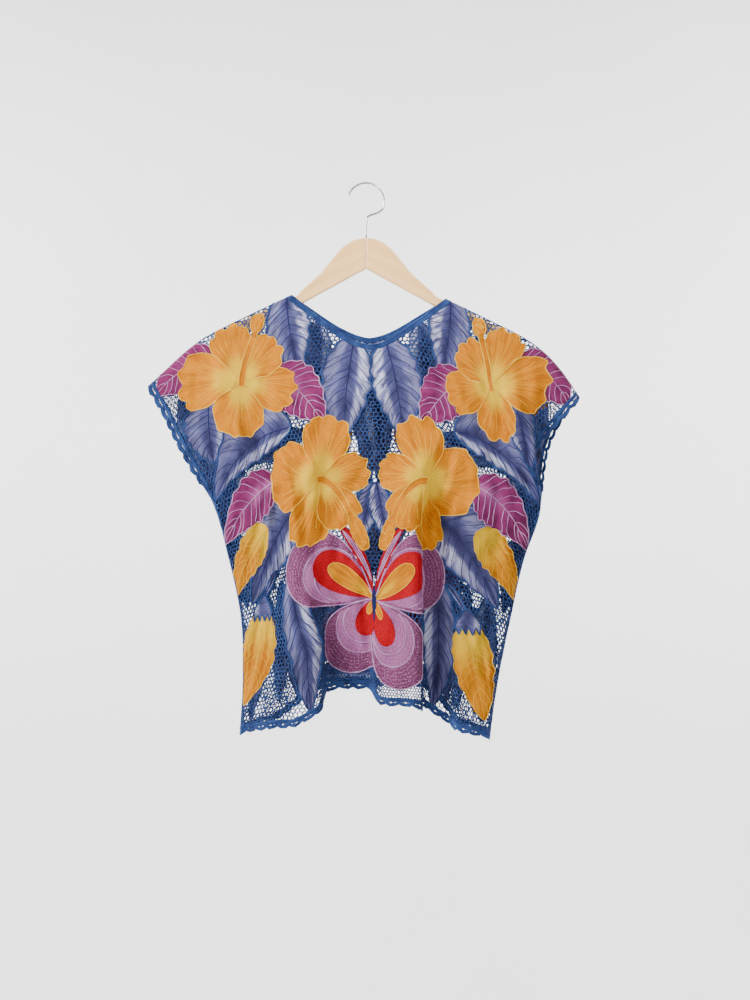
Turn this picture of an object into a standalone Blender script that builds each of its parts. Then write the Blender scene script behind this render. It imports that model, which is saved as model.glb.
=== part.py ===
# A cutwork mesh top on a wooden hanger, hung by its wire hook.
# Metres, +Z up, +X to the viewer's right. The front of the top faces -Y.
# The origin is inside the top of the hook, where the nail or rail holds it.
# Each piece of cloth is drawn flat and then hung. Flat places are given as
# "across", from the centre line, and "drop", below the line of the shoulder seam.

import math

import bpy
import numpy as np
from mathutils.geometry import delaunay_2d_cdt

# Walls and gaps
PANEL_WALL = 0.0012
EDGING_WALL = 0.0018
GAP = 0.0003
EDGING_GAP = 0.0006
CUFF_GAP = 0.0029
SEAM_DEPTH = 0.0004

# The flat cut, one half
NECK_HALF = 0.113
FRONT_NECK_DEPTH = 0.084
BACK_NECK_DEPTH = 0.072
NECK_POWER = 1.6
TIP_ACROSS = 0.350
TIP_BELOW = 0.065
UNDERARM_ACROSS = 0.300
UNDERARM_BELOW = 0.255
HEM_ACROSS = 0.250
HEM_CENTRE_BELOW = 0.590
HEM_CORNER_BELOW = 0.624
HEM_BEND_START = 0.050
HEM_BEND_WIDTH = 0.130

# The corded edgings
EDGING_WIDTH = 0.007
SCALLOP_LENGTH = 0.020
SCALLOP_DEPTH = 0.0035
SCALLOP_STEPS = 3
SCALLOPS_FADE_FROM = 0.012
SCALLOPS_FADE_OVER = 0.025
CUFF_END_GAP = 0.0015

# How the cloth hangs
CENTRE_HEIGHT = -0.153
CENTRE_TOP_X = 0.0045
CENTRE_SWING = 0.0075
CENTRE_SWING_DROP = 0.300
FALL = 0.975
OVER_DROP = 0.008
FRONT_OVER = 0.0079
BACK_OVER = 0.0079
SIDE_ROLL = 0.040
ROLL_FROM = 0.140
ROLL_OVER = 0.070
LONGEST = 0.660
NORMAL_STEP = 0.0002
ACROSS_STEP = 0.0025
GATHER_FROM = 0.30
DROP_STEP = 0.005

# The line of the shoulder seam: the slope on the hanger's arm, and the droop past its end
SHOULDERS = {
    "left": {"starts": 0.050, "slope": 26.0, "droop": 18.0, "droop_from": 0.205, "droop_to": 0.310},
    "right": {"starts": 0.036, "slope": 26.0, "droop": 32.0, "droop_from": 0.200, "droop_to": 0.345},
}
SLOPE_OVER = 0.090

# Reach of the hung cloth to each side of its centre line, at each drop
SECTION_COLUMNS = ("drop", "front_left", "front_right", "back_left", "back_right")
SECTIONS = [
    (0.000, 0.320, 0.305, 0.320, 0.305),
    (0.050, 0.298, 0.270, 0.298, 0.276),
    (0.100, 0.280, 0.244, 0.280, 0.258),
    (0.150, 0.260, 0.238, 0.260, 0.250),
    (0.204, 0.236, 0.243, 0.236, 0.243),
    (0.300, 0.212, 0.216, 0.212, 0.216),
    (0.400, 0.193, 0.196, 0.193, 0.196),
    (0.500, 0.190, 0.178, 0.190, 0.178),
    (0.590, 0.194, 0.166, 0.194, 0.166),
    (0.660, 0.196, 0.158, 0.196, 0.158),
]

# The right front cuff is tucked in towards the body
TUCK = {"depth": 0.006, "drop": 0.110, "spread": 0.034, "from": 0.120, "over": 0.200}

# Rolls of cloth that stand out from a panel: where each starts and is full, between which
# places across it lies, how deep it is and how softly its two sides rise
ROLL_COLUMNS = ("starts", "full", "fades", "left", "right", "depth", "left_ease", "right_ease")
NO_FADE = 9.0
FRONT_BASE = 0.012
FRONT_BASE_DROP = 0.450
FRONT_ROLLS = {
    "fold": (0.200, 0.330, NO_FADE, 0.035, 0.088, 0.036, 0.0300, 0.0185),
    "centre": (0.400, 0.520, NO_FADE, -0.006, 0.045, 0.018, 0.0105, 0.0300),
    "left": (0.380, 0.520, NO_FADE, -0.190, -0.092, 0.034, 0.0400, 0.0175),
    "right": (0.360, 0.580, NO_FADE, 0.160, 0.245, 0.020, 0.0130, 0.0200),
    "right bust": (0.160, 0.300, 0.500, 0.150, 0.215, 0.010, 0.0250, 0.0200),
    "left bust": (0.140, 0.300, 0.480, -0.140, -0.085, 0.012, 0.0150, 0.0120),
    "right sleeve": (0.030, 0.130, 0.240, 0.232, 0.312, 0.026, 0.0180, 0.0180),
    "left sleeve": (0.020, 0.100, 0.300, -0.255, -0.205, 0.012, 0.0180, 0.0180),
}
BACK_BASE = 0.010
BACK_BASE_DROP = 0.350
BACK_ROLLS = {
    "left": (0.200, 0.520, NO_FADE, -0.170, -0.085, 0.016, 0.0230, 0.0210),
    "right": (0.240, 0.560, NO_FADE, 0.045, 0.135, 0.018, 0.0220, 0.0240),
    "left shoulder": (0.030, 0.140, 0.340, -0.220, -0.150, 0.010, 0.0200, 0.0200),
    "right shoulder": (0.030, 0.140, 0.300, 0.165, 0.240, 0.012, 0.0200, 0.0200),
}

# Stretches of the front that sag as they hang forward, growing down to the hem
SAG_COLUMNS = ("starts", "full", "left", "right", "amount", "ease")
SAGS = {
    "fold": (0.400, 0.590, 0.000, 0.094, 0.021, 0.0120),
    "left": (0.450, 0.600, -0.160, -0.092, 0.009, 0.0160),
}

# Cloth figures that fill the ground, each a round-ended bar on both halves; the net is between them
FIGURE_COLUMNS = ("from_across", "from_below", "to_across", "to_below", "radius")
FIGURES = {
    "shoulder flower": (0.186, 0.112, 0.222, 0.120, 0.074),
    "breast flower": (0.080, 0.268, 0.096, 0.302, 0.080),
    "shoulder pistil": (0.185, 0.060, 0.163, 0.028, 0.010),
    "outer shoulder leaf": (0.250, 0.066, 0.322, 0.078, 0.026),
    "inner shoulder leaf": (0.135, 0.120, 0.084, 0.178, 0.030),
    "neck leaf": (0.120, 0.018, 0.108, 0.104, 0.024),
    "breast leaf": (0.030, 0.108, 0.056, 0.184, 0.028),
    "sleeve leaf": (0.250, 0.156, 0.312, 0.186, 0.024),
    "arm leaf": (0.268, 0.238, 0.146, 0.206, 0.027),
    "side leaf": (0.188, 0.282, 0.262, 0.316, 0.026),
    "slanting leaf": (0.138, 0.356, 0.228, 0.430, 0.028),
    "low leaf": (0.126, 0.462, 0.113, 0.574, 0.021),
    "side petal": (0.212, 0.358, 0.264, 0.402, 0.022),
    "bud": (0.196, 0.500, 0.211, 0.574, 0.028),
    "upper wing": (0.056, 0.404, 0.112, 0.416, 0.046),
    "lower wing": (0.040, 0.500, 0.046, 0.532, 0.048),
}

# Gaps of the net that are cut through, the largest ones, in rows
NET_PITCH = {"front": 0.0200, "back": 0.0250}
NET_GAP_RADIUS = 0.0046
NET_GAP_SIDES = 6
NET_MARGIN = 0.0035
NET_SHIFT = 0.0022
NET_SEED = 7

# Points of a panel: columns across, rows down, and rows close under the shoulder seam
COLUMN_STEP = 0.0175
ROW_STEP = 0.0340
SHOULDER_ROWS = (0.0022, 0.0080)
SIDE_COLUMNS = (0.008, 0.020)
POINT_CLEARANCE = 0.0050
ROW_SQUEEZE = 0.5
SEAM_SPREAD = 0.014
SLIVER_AREA = 1e-8

# The hanger: its arms are two boards that meet in a mitre, with softly rounded edges
ARM_THICKNESS = 0.012
ARM_ROUNDING = 0.002
ARM_REACH = 0.205
ARM_TIP_ROUND = 0.008
ARM_UNDER_CENTRE = -0.1235
ARM_UNDER_SLOPE = 0.545
ARM_BELOW_SEAM = 0.0028
ARM_ON_SEAM = 0.113
ARM_COLUMNS = ("reach", "top")
ARM_TOPS = [
    (0.0005, -0.0790),
    (0.0150, -0.0812),
    (0.0250, -0.0858),
    (0.0345, -0.0928),
    (0.0449, -0.1045),
    (0.0568, -0.1190),
    (0.0670, -0.1315),
    (0.0850, -0.1480),
    (0.0940, -0.1558),
    (0.1010, -0.1640),
]
MITRE_GAP = 0.00015

# The hook: a wire arc over the origin that runs down to the mitre
WIRE_RADIUS = 0.0015
HOOK_RADIUS = 0.0267
HOOK_TIP_ANGLE = 156.0
HOOK_LOW_ANGLE = -24.0
HOOK_ARC_STEPS = 16
HOOK_KNEE = (0.0012, -0.0500)
WIRE_STEP = 0.0055
TIP_SWELL = 1.55

COLOURS = {
    "blue cloth": ((0.055, 0.095, 0.250), 0.85, 0.0),
    "cord": ((0.070, 0.145, 0.330), 0.80, 0.0),
    "wood": ((0.720, 0.510, 0.320), 0.45, 0.0),
    "wire": ((0.620, 0.620, 0.630), 0.22, 1.0),
}


def soft_step(t):
    t = np.clip(t, 0.0, 1.0)
    return t * t * (3.0 - 2.0 * t)


def soft_side(t):
    """A rise from nought to one with an even slope and small round corners."""
    return 0.5 * (1.0 + t / (1.0 + t**6) ** (1.0 / 6.0))


def rows_of(columns, table):
    return [dict(zip(columns, row)) for row in table]


# The flat cut

def shoulder_below(across):
    slope = TIP_BELOW / (TIP_ACROSS - NECK_HALF)
    return slope * np.clip(np.abs(across) - NECK_HALF, 0.0, None)


def side_across(below):
    """Half the width of the cut at a flat level: the cuff down to the underarm, then the side seam."""
    levels = (TIP_BELOW, UNDERARM_BELOW, HEM_CORNER_BELOW)
    return np.interp(below, levels, (TIP_ACROSS, UNDERARM_ACROSS, HEM_ACROSS))


def side_across_at_drop(drop):
    below = np.linspace(TIP_BELOW, HEM_CORNER_BELOW, 200)
    across = side_across(below)
    return np.interp(drop, below - shoulder_below(across), across)


def neck_half(inset):
    return NECK_HALF + 1.3 * inset


def neck_drop(across, depth, inset):
    reach = np.abs(across) / neck_half(inset)
    return (depth + inset) * (1.0 - np.clip(reach, 0.0, 1.0) ** NECK_POWER)


def hem_drop(across):
    bend = soft_step((np.abs(across) - HEM_BEND_START) / HEM_BEND_WIDTH)
    below = HEM_CENTRE_BELOW + (HEM_CORNER_BELOW - HEM_CENTRE_BELOW) * bend
    return below - shoulder_below(across)


UNDERARM_DROP = UNDERARM_BELOW - float(shoulder_below(UNDERARM_ACROSS))
CORNER_DROP = float(hem_drop(HEM_ACROSS))


# How it hangs

def seam_slope(across):
    """Slope of the shoulder seam in radians, at a flat distance from the centre."""
    sides = SHOULDERS["right"] if across > 0 else SHOULDERS["left"]
    reach = abs(across)
    on_arm = sides["slope"] * soft_step((reach - sides["starts"]) / SLOPE_OVER)
    past = (reach - sides["droop_from"]) / (sides["droop_to"] - sides["droop_from"])
    return math.radians(on_arm + sides["droop"] * soft_step(past))


def seam_stretch(across):
    slope = TIP_BELOW / (TIP_ACROSS - NECK_HALF)
    return np.where(np.abs(across) > NECK_HALF, math.hypot(1.0, slope), 1.0)


def roll_depth(across, drop, rolls):
    total = np.zeros(np.broadcast(across, drop).shape)
    for roll in rows_of(ROLL_COLUMNS, rolls.values()):
        grown = soft_step((drop - roll["starts"]) / (roll["full"] - roll["starts"]))
        if roll["fades"] < NO_FADE:
            grown = grown * (1.0 - soft_step((drop - roll["full"]) / (roll["fades"] - roll["full"])))
        rise = soft_side((across - roll["left"]) / roll["left_ease"])
        sink = soft_side((across - roll["right"]) / roll["right_ease"])
        total = total + roll["depth"] * grown * (rise - sink)
    return total


def panel_depth(side, across, drop):
    """Distance of a panel from the middle plane: a round over the hanger, rolls, and rolled side edges."""
    front = side == "front"
    over = (1.0 - np.clip(1.0 - drop / OVER_DROP, 0.0, 1.0) ** 2) ** 0.5
    depth = (FRONT_OVER if front else BACK_OVER) * over
    base, base_drop = (FRONT_BASE, FRONT_BASE_DROP) if front else (BACK_BASE, BACK_BASE_DROP)
    depth = depth + base * soft_step(drop / base_drop)
    depth = depth + roll_depth(across, drop, FRONT_ROLLS if front else BACK_ROLLS)
    inside = side_across_at_drop(drop) - np.abs(across)
    edge = 1.0 - (1.0 - np.clip(1.0 - inside / SIDE_ROLL, 0.0, 1.0) ** 2) ** 0.5
    edge = edge * soft_step((drop - ROLL_FROM) / ROLL_OVER)
    return SEAM_DEPTH + depth * (1.0 - edge)


def sag(side, across, drop):
    total = np.zeros(np.broadcast(across, drop).shape)
    for row in rows_of(SAG_COLUMNS, SAGS.values()) if side == "front" else []:
        grown = soft_step((drop - row["starts"]) / (row["full"] - row["starts"]))
        from_left = soft_side((across - row["left"]) / row["ease"])
        past_right = soft_side((across - row["right"]) / row["ease"])
        total = total + row["amount"] * grown * (from_left - past_right)
    return total


def smooth_table(places, values, at):
    """A smooth curve through a table's values."""
    slopes = np.gradient(values, places)
    k = np.clip(np.searchsorted(places, at) - 1, 0, len(places) - 2)
    span = places[k + 1] - places[k]
    t = np.clip((at - places[k]) / span, 0.0, 1.0)
    return ((2 * t**3 - 3 * t**2 + 1) * values[k] + (t**3 - 2 * t**2 + t) * span * slopes[k]
            + (3 * t**2 - 2 * t**3) * values[k + 1] + (t**3 - t**2) * span * slopes[k + 1])


class HungPanel:
    """Where each flat point of the front or the back hangs.

    A row keeps its length: its way across is what its slope and its depth leave of it. Its outer
    part is gathered or eased so that its two ends reach where the table of sections puts them.
    """

    def __init__(self, side):
        self.side = side
        self.across = np.arange(-0.400, 0.4001, ACROSS_STEP)
        self.drops = np.arange(0.0, LONGEST, DROP_STEP)
        across, drops = np.meshgrid(self.across, self.drops)
        slope = np.array([seam_slope(a) for a in self.across])
        stretch = seam_stretch(self.across)
        middle = len(self.across) // 2
        sink = np.sin(slope) * stretch
        steps = 0.5 * (sink[1:] + sink[:-1]) * ACROSS_STEP
        self.seam = np.zeros_like(self.across)
        self.seam[middle + 1:] = np.cumsum(steps[middle:])
        self.seam[:middle] = np.cumsum(steps[:middle][::-1])[::-1]
        depth = panel_depth(side, across, drops)
        depth_slope = np.gradient(depth, ACROSS_STEP, axis=1)
        way = np.sqrt(np.clip(stretch**2 - sink**2 - depth_slope**2, 0.001, None))
        steps = 0.5 * (way[:, 1:] + way[:, :-1]) * ACROSS_STEP
        x = np.zeros_like(across)
        x[:, middle + 1:] = np.cumsum(steps[:, middle:], axis=1)
        x[:, :middle] = -np.cumsum(steps[:, :middle][:, ::-1], axis=1)[:, ::-1]
        sections = np.array(SECTIONS)
        edge = side_across_at_drop(self.drops)
        for sign, column in ((-1, side + "_left"), (1, side + "_right")):
            reach = sections[:, SECTION_COLUMNS.index(column)]
            wanted = smooth_table(sections[:, 0], reach, self.drops)
            found = [abs(np.interp(sign * e, self.across, row)) for e, row in zip(edge, x)]
            missing = sign * (wanted - np.array(found))
            gathered = soft_step((sign * self.across / edge[:, None] - GATHER_FROM) / (1.0 - GATHER_FROM))
            x += missing[:, None] * gathered
        x += CENTRE_TOP_X + CENTRE_SWING * soft_step(drops / CENTRE_SWING_DROP)
        if side == "front":
            near = np.exp(-((drops - TUCK["drop"]) / TUCK["spread"]) ** 2)
            x -= TUCK["depth"] * near * soft_step((across - TUCK["from"]) / TUCK["over"])
        self.x = x

    def place(self, across, drop):
        """World points of flat points."""
        across, drop = np.broadcast_arrays(np.asarray(across, float), np.asarray(drop, float))
        i = np.clip((across - self.across[0]) / ACROSS_STEP, 0, len(self.across) - 1.001)
        j = np.clip(drop / DROP_STEP, 0, len(self.drops) - 1.001)
        a, b = i.astype(int), j.astype(int)
        u, v = i - a, j - b
        x = ((self.x[b, a] * (1 - u) + self.x[b, a + 1] * u) * (1 - v)
             + (self.x[b + 1, a] * (1 - u) + self.x[b + 1, a + 1] * u) * v)
        y = panel_depth(self.side, across, drop) * (-1.0 if self.side == "front" else 1.0)
        z = CENTRE_HEIGHT - np.interp(across, self.across, self.seam) - FALL * drop
        z = z - sag(self.side, across, drop)
        return np.stack([x, y, z], axis=-1)

    def normals(self, across, drop):
        """Directions square to the hung cloth, so that neighbours with walls keep their gap."""
        inwards = -np.sign(across + 1e-9) * NORMAL_STEP
        here = self.place(across, drop)
        along = (self.place(across + inwards, drop) - here) * np.sign(inwards)[:, None]
        down = self.place(across, drop + NORMAL_STEP) - here
        square = np.cross(along, down)
        return square / np.linalg.norm(square, axis=-1)[:, None]


# Outlines of the flat pieces

def neck_line(depth, inset, count=20):
    """Points round the neck, with two close to each end where the cloth rounds over the hanger."""
    half = neck_half(inset)
    close = np.array(SHOULDER_ROWS) * half / (NECK_POWER * (depth + inset))
    right = np.concatenate([np.linspace(0.0, half - 2.0 * close[-1], count // 2 + 1), half - close[::-1], [half]])
    across = np.concatenate([-right[:0:-1], right])
    return np.stack([across, neck_drop(across, depth, inset)], axis=-1)


def cuff_line(sign, inset, end_gap=0.0, count=20):
    """Points down a cuff, from the shoulder seam to the underarm."""
    below = np.linspace(TIP_BELOW, UNDERARM_BELOW, count + 1)
    drop = np.linspace(0.0, UNDERARM_DROP, count + 1)
    drop[-1] -= end_gap
    return np.stack([sign * (side_across(below) - inset), drop], axis=-1)


def seam_line(sign, count=8):
    """Points along a shoulder seam, from the neck edging out to the cuff edging."""
    neck_end = neck_half(EDGING_WIDTH + EDGING_GAP)
    across = np.linspace(neck_end, TIP_ACROSS - EDGING_WIDTH - CUFF_GAP, count + 1)
    return np.stack([sign * across, 0.0 * across], axis=-1)


def side_line(sign, count=13):
    """Points down a side seam, from just under the underarm to the hem edging."""
    ends = (UNDERARM_DROP + EDGING_GAP, CORNER_DROP - EDGING_WIDTH - EDGING_GAP)
    drop = np.linspace(*ends, count + 1)
    return np.stack([sign * side_across_at_drop(drop), drop], axis=-1)


def hem_line(inset, count=34):
    across = np.linspace(-1.0, 1.0, count + 1) * (HEM_ACROSS - 0.0002)
    return np.stack([across, hem_drop(across) - inset], axis=-1)


def panel_outline(depth):
    inset = EDGING_WIDTH + EDGING_GAP
    neck = neck_line(depth, inset)
    cuff_inset = EDGING_WIDTH + CUFF_GAP
    right = [seam_line(1)[1:-1], cuff_line(1, cuff_inset), side_line(1)[:-1]]
    left = [seam_line(-1)[1:-1], cuff_line(-1, cuff_inset), side_line(-1)[:-1]]
    right[1][-1, 1] += EDGING_GAP
    left[1][-1, 1] += EDGING_GAP
    hem = hem_line(inset)[::-1]
    pieces = [neck, *right, hem] + [part[::-1] for part in left[::-1]]
    return np.concatenate(pieces)


def scalloped(line, outwards):
    """The outer side of an edging: an edge line with round scallops standing out of it."""
    steps = np.hypot(*np.diff(line, axis=0).T)
    length = np.concatenate([[0.0], np.cumsum(steps)])
    scallops = max(1, round(length[-1] / SCALLOP_LENGTH))
    at = np.linspace(0.0, length[-1], scallops * SCALLOP_STEPS + 1)
    across = np.interp(at, length, line[:, 0])
    drop = np.interp(at, length, line[:, 1])
    out = SCALLOP_DEPTH * np.abs(np.sin(math.pi * scallops * at / length[-1])) ** 0.7
    if outwards[0]:
        out = out * soft_step((UNDERARM_DROP - drop - SCALLOPS_FADE_FROM) / SCALLOPS_FADE_OVER)
    return np.stack([across + outwards[0] * out, drop + outwards[1] * out], axis=-1)


def edging_outlines():
    """Flat outlines of the edgings, each with the panel that it lies beside."""
    outlines = {}
    for side, depth in (("front", FRONT_NECK_DEPTH), ("back", BACK_NECK_DEPTH)):
        inner, outer = neck_line(depth, 0.0), neck_line(depth, EDGING_WIDTH)
        outlines["neck_edging_" + side] = (side, np.concatenate([outer, inner[::-1]]))
        for name, sign in (("left", -1), ("right", 1)):
            inner = cuff_line(sign, EDGING_WIDTH, CUFF_END_GAP)
            outer = scalloped(cuff_line(sign, 0.0, CUFF_END_GAP), (sign, 0.0))
            outlines["cuff_edging_%s_%s" % (name, side)] = (side, np.concatenate([inner, outer[::-1]]))
        inner, outer = hem_line(EDGING_WIDTH), scalloped(hem_line(0.0), (0.0, 1.0))
        outlines["hem_edging_" + side] = (side, np.concatenate([inner, outer[::-1]]))
    return outlines


# Flat geometry

def inside(outline, points):
    """Which points lie inside a closed outline."""
    x, y = points[:, 0], points[:, 1]
    found = np.zeros(len(points), bool)
    for (x0, y0), (x1, y1) in zip(outline, np.roll(outline, -1, axis=0)):
        if y0 != y1:
            crosses = (y0 > y) != (y1 > y)
            found ^= crosses & (x < (x1 - x0) * (y - y0) / (y1 - y0) + x0)
    return found


def distance_to_bar(points, start, end):
    start, end = np.asarray(start), np.asarray(end)
    along = end - start
    t = np.clip((points - start) @ along / max(along @ along, 1e-12), 0.0, 1.0)
    return np.hypot(*(points - start - t[:, None] * along).T)


def distance_to_outline(outline, points):
    ends = np.roll(outline, -1, axis=0)
    return np.min([distance_to_bar(points, a, b) for a, b in zip(outline, ends)], axis=0)


def net_gaps(side, outline):
    """Six-sided gaps in the net between the figures, in rows that don't quite line up."""
    rng = np.random.default_rng(NET_SEED)
    pitch = NET_PITCH[side]
    rows = np.arange(0.012, CORNER_DROP, pitch * 0.866)
    centres = []
    for k, drop in enumerate(rows):
        across = np.arange(pitch * (0.5 if k % 2 else 0.0), TIP_ACROSS, pitch)
        across = np.unique(np.concatenate([-across, across]))
        centres += [(a, drop) for a in across]
    centres = np.array(centres) + rng.uniform(-NET_SHIFT, NET_SHIFT, (len(centres), 2))
    clear = NET_GAP_RADIUS + NET_MARGIN
    keep = inside(outline, centres) & (distance_to_outline(outline, centres) > clear)
    flat = np.stack([np.abs(centres[:, 0]), centres[:, 1] + shoulder_below(centres[:, 0])], axis=-1)
    for bar in rows_of(FIGURE_COLUMNS, FIGURES.values()):
        start = (bar["from_across"], bar["from_below"])
        end = (bar["to_across"], bar["to_below"])
        keep &= distance_to_bar(flat, start, end) > bar["radius"] + NET_GAP_RADIUS
    gaps = []
    for centre in centres[keep]:
        turn, size = rng.uniform(0.0, math.tau), NET_GAP_RADIUS * rng.uniform(0.9, 1.08)
        angles = turn + math.tau * np.arange(NET_GAP_SIDES) / NET_GAP_SIDES
        gaps.append(centre + size * np.stack([np.cos(angles), np.sin(angles)], axis=-1))
    return gaps


def panel_points(outline, depth, gaps):
    """Points inside a panel: rows that follow its side edges, clear of the outline and the gaps."""
    rows = np.arange(SHOULDER_ROWS[-1] + 0.6 * ROW_STEP, CORNER_DROP, ROW_STEP)
    points = []
    for drop in (*SHOULDER_ROWS, *rows):
        edge = float(side_across_at_drop(drop))
        core = edge - SIDE_COLUMNS[-1] - COLUMN_STEP
        across = np.linspace(-core, core, round(2.0 * core / COLUMN_STEP) + 1)
        sides = np.array([edge - s for s in SIDE_COLUMNS])
        points += [(a, drop) for a in np.concatenate([-sides, across, sides])]
    points = np.array(points)
    near_seam = points[:, 1] <= SHOULDER_ROWS[-1]
    clear = distance_to_outline(outline, points)
    keep = inside(outline, points) & (clear > np.where(near_seam, 0.001, POINT_CLEARANCE))
    for gap in gaps:
        reach = np.hypot(*(points - gap.mean(axis=0)).T)
        keep &= reach > NET_GAP_RADIUS + POINT_CLEARANCE
    return points[keep]


def flat_triangles(outline, gaps, points):
    """Triangles between the outline, the gaps and the inner points."""
    loops = [outline, *gaps]
    edges, first = [], 0
    for loop in loops:
        count = len(loop)
        edges += [(first + k, first + (k + 1) % count) for k in range(count)]
        first += count
    flat = np.concatenate([*loops, points]) if len(points) else np.concatenate(loops)
    down = flat[:, 1] * ROW_SQUEEZE + SEAM_SPREAD * (1.0 - np.exp(-flat[:, 1] / SHOULDER_ROWS[0]))
    spread = np.stack([flat[:, 0], down], axis=-1).tolist()
    _, _, faces, sources, _, _ = delaunay_2d_cdt(spread, edges, [], 0, 1e-7)
    flat = flat[[source[0] for source in sources]]
    faces = np.array([list(f) for f in faces])
    corners = flat[faces]
    middles = corners.mean(axis=1)
    (ax, ay), (bx, by) = (corners[:, 1] - corners[:, 0]).T, (corners[:, 2] - corners[:, 0]).T
    keep = inside(outline, middles) & (np.abs(ax * by - ay * bx) > SLIVER_AREA)
    for gap in gaps:
        near = np.hypot(*(middles - gap.mean(axis=0)).T) < 2.0 * NET_GAP_RADIUS
        keep[near] &= ~inside(gap, middles[near])
    return flat, faces[keep]


# Objects

def material(name):
    colour, roughness, metallic = COLOURS[name]
    made = bpy.data.materials.new(name)
    made.use_nodes = True
    shader = made.node_tree.nodes["Principled BSDF"]
    shader.inputs["Base Color"].default_value = (*colour, 1.0)
    shader.inputs["Roughness"].default_value = roughness
    shader.inputs["Metallic"].default_value = metallic
    made.diffuse_color = (*colour, 1.0)
    return made


def add_object(name, data, finish, collection):
    made = bpy.data.objects.new(name, data)
    made.data.materials.append(material(finish))
    collection.objects.link(made)
    return made


def cloth_piece(name, hung, outline, gaps, points, wall, finish, collection):
    """A flat piece, hung and given its wall: two skins square to the cloth, joined by a rim."""
    flat, faces = flat_triangles(outline, gaps, points)
    used, faces = np.unique(faces, return_inverse=True)
    flat, faces = flat[used], faces.reshape(-1, 3)
    middle = hung.place(flat[:, 0], flat[:, 1])
    offset = hung.normals(flat[:, 0], flat[:, 1]) * wall / 2.0
    count = len(flat)
    edges = {(a, b) for face in faces.tolist() for a, b in zip(face, face[1:] + face[:1])}
    rim = [(b, a, a + count, b + count) for a, b in sorted(edges) if (b, a) not in edges]
    skins = faces.tolist() + (faces[:, ::-1] + count).tolist()
    mesh = bpy.data.meshes.new(name)
    mesh.from_pydata(np.concatenate([middle + offset, middle - offset]).tolist(), [], skins + rim)
    mesh.shade_smooth()
    return add_object(name, mesh, finish, collection)


def build_cloth(collection):
    hung = {side: HungPanel(side) for side in ("front", "back")}
    for side, depth in (("front", FRONT_NECK_DEPTH), ("back", BACK_NECK_DEPTH)):
        outline = panel_outline(depth)
        gaps = net_gaps(side, outline)
        points = panel_points(outline, depth, gaps)
        cloth_piece(side + "_panel", hung[side], outline, gaps, points, PANEL_WALL, "blue cloth", collection)
    no_points = np.zeros((0, 2))
    for name, (side, outline) in edging_outlines().items():
        cloth_piece(name, hung[side], outline, [], no_points, EDGING_WALL, "cord", collection)
    return hung["front"]


def arm_outline(hung, sign):
    """One arm of the hanger from the front: a humped top that runs on under the seam, a round tip."""
    top = [(row["reach"], row["top"]) for row in rows_of(ARM_COLUMNS, ARM_TOPS)]
    for across in np.linspace(ARM_ON_SEAM, ARM_REACH, 6):
        x, _, z = hung.place(sign * across, 0.0)
        slope = seam_slope(sign * across)
        top.append((abs(x) - ARM_BELOW_SEAM * math.sin(slope), z - ARM_BELOW_SEAM * math.cos(slope)))
    reach = top[-1][0]
    under = ARM_UNDER_CENTRE - ARM_UNDER_SLOPE * reach
    middle = 0.5 * (top[-1][1] + under)
    half = 0.5 * (top[-1][1] - under)
    tip = [(reach + ARM_TIP_ROUND * math.cos(a), middle + half * math.sin(a)) for a in (0.9, 0.0, -0.9)]
    bottom = [(reach, under), (0.5 * reach, ARM_UNDER_CENTRE - 0.5 * ARM_UNDER_SLOPE * reach)]
    centre = [(MITRE_GAP, ARM_UNDER_CENTRE), (MITRE_GAP, ARM_TOPS[0][1])]
    return [(sign * r, z) for r, z in top[1:] + tip + bottom + centre]


def build_arm(name, hung, sign, collection):
    curve = bpy.data.curves.new(name, "CURVE")
    curve.dimensions = "2D"
    curve.fill_mode = "BOTH"
    curve.extrude = ARM_THICKNESS / 2.0
    points = arm_outline(hung, sign)
    spline = curve.splines.new("POLY")
    spline.points.add(len(points) - 1)
    for point, (x, z) in zip(spline.points, points):
        point.co = (x, z, 0.0, 1.0)
    spline.use_cyclic_u = True
    arm = add_object(name, curve, "wood", collection)
    arm.rotation_euler = (math.pi / 2.0, 0.0, 0.0)
    weld = arm.modifiers.new("Weld", "WELD")
    weld.merge_threshold = 0.0001
    rounding = arm.modifiers.new("Rounding", "BEVEL")
    rounding.width = ARM_ROUNDING
    rounding.segments = 2
    rounding.limit_method = "ANGLE"
    rounding.angle_limit = math.radians(50.0)
    return arm


def hook_route():
    """The wire's middle line: from the tip over the nail, down the far side and in to the mitre."""
    centre = (0.0, WIRE_RADIUS - HOOK_RADIUS)
    angles = np.radians(np.linspace(HOOK_TIP_ANGLE, HOOK_LOW_ANGLE, HOOK_ARC_STEPS + 1))
    route = [(centre[0] + HOOK_RADIUS * math.cos(a), centre[1] + HOOK_RADIUS * math.sin(a)) for a in angles]
    low = route[-1]
    runs = [(low, HOOK_KNEE), (HOOK_KNEE, (0.0, ARM_TOPS[0][1] + GAP))]
    for start, end in runs:
        count = max(2, round(math.dist(start, end) / WIRE_STEP))
        first = 0.35 if start is low else 0.0
        for t in np.linspace(first, 1.0, count + 1)[1:]:
            route.append((start[0] + (end[0] - start[0]) * t, start[1] + (end[1] - start[1]) * t))
    return route


def build_hook(collection):
    curve = bpy.data.curves.new("hook", "CURVE")
    curve.dimensions = "3D"
    curve.bevel_depth = WIRE_RADIUS
    curve.bevel_resolution = 2
    curve.use_fill_caps = True
    route = hook_route()
    spline = curve.splines.new("POLY")
    spline.points.add(len(route) - 1)
    for k, (point, (x, z)) in enumerate(zip(spline.points, route)):
        point.co = (x, 0.0, z, 1.0)
        point.radius = TIP_SWELL if k == 0 else 1.0
    return add_object("hook", curve, "wire", collection)


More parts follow.
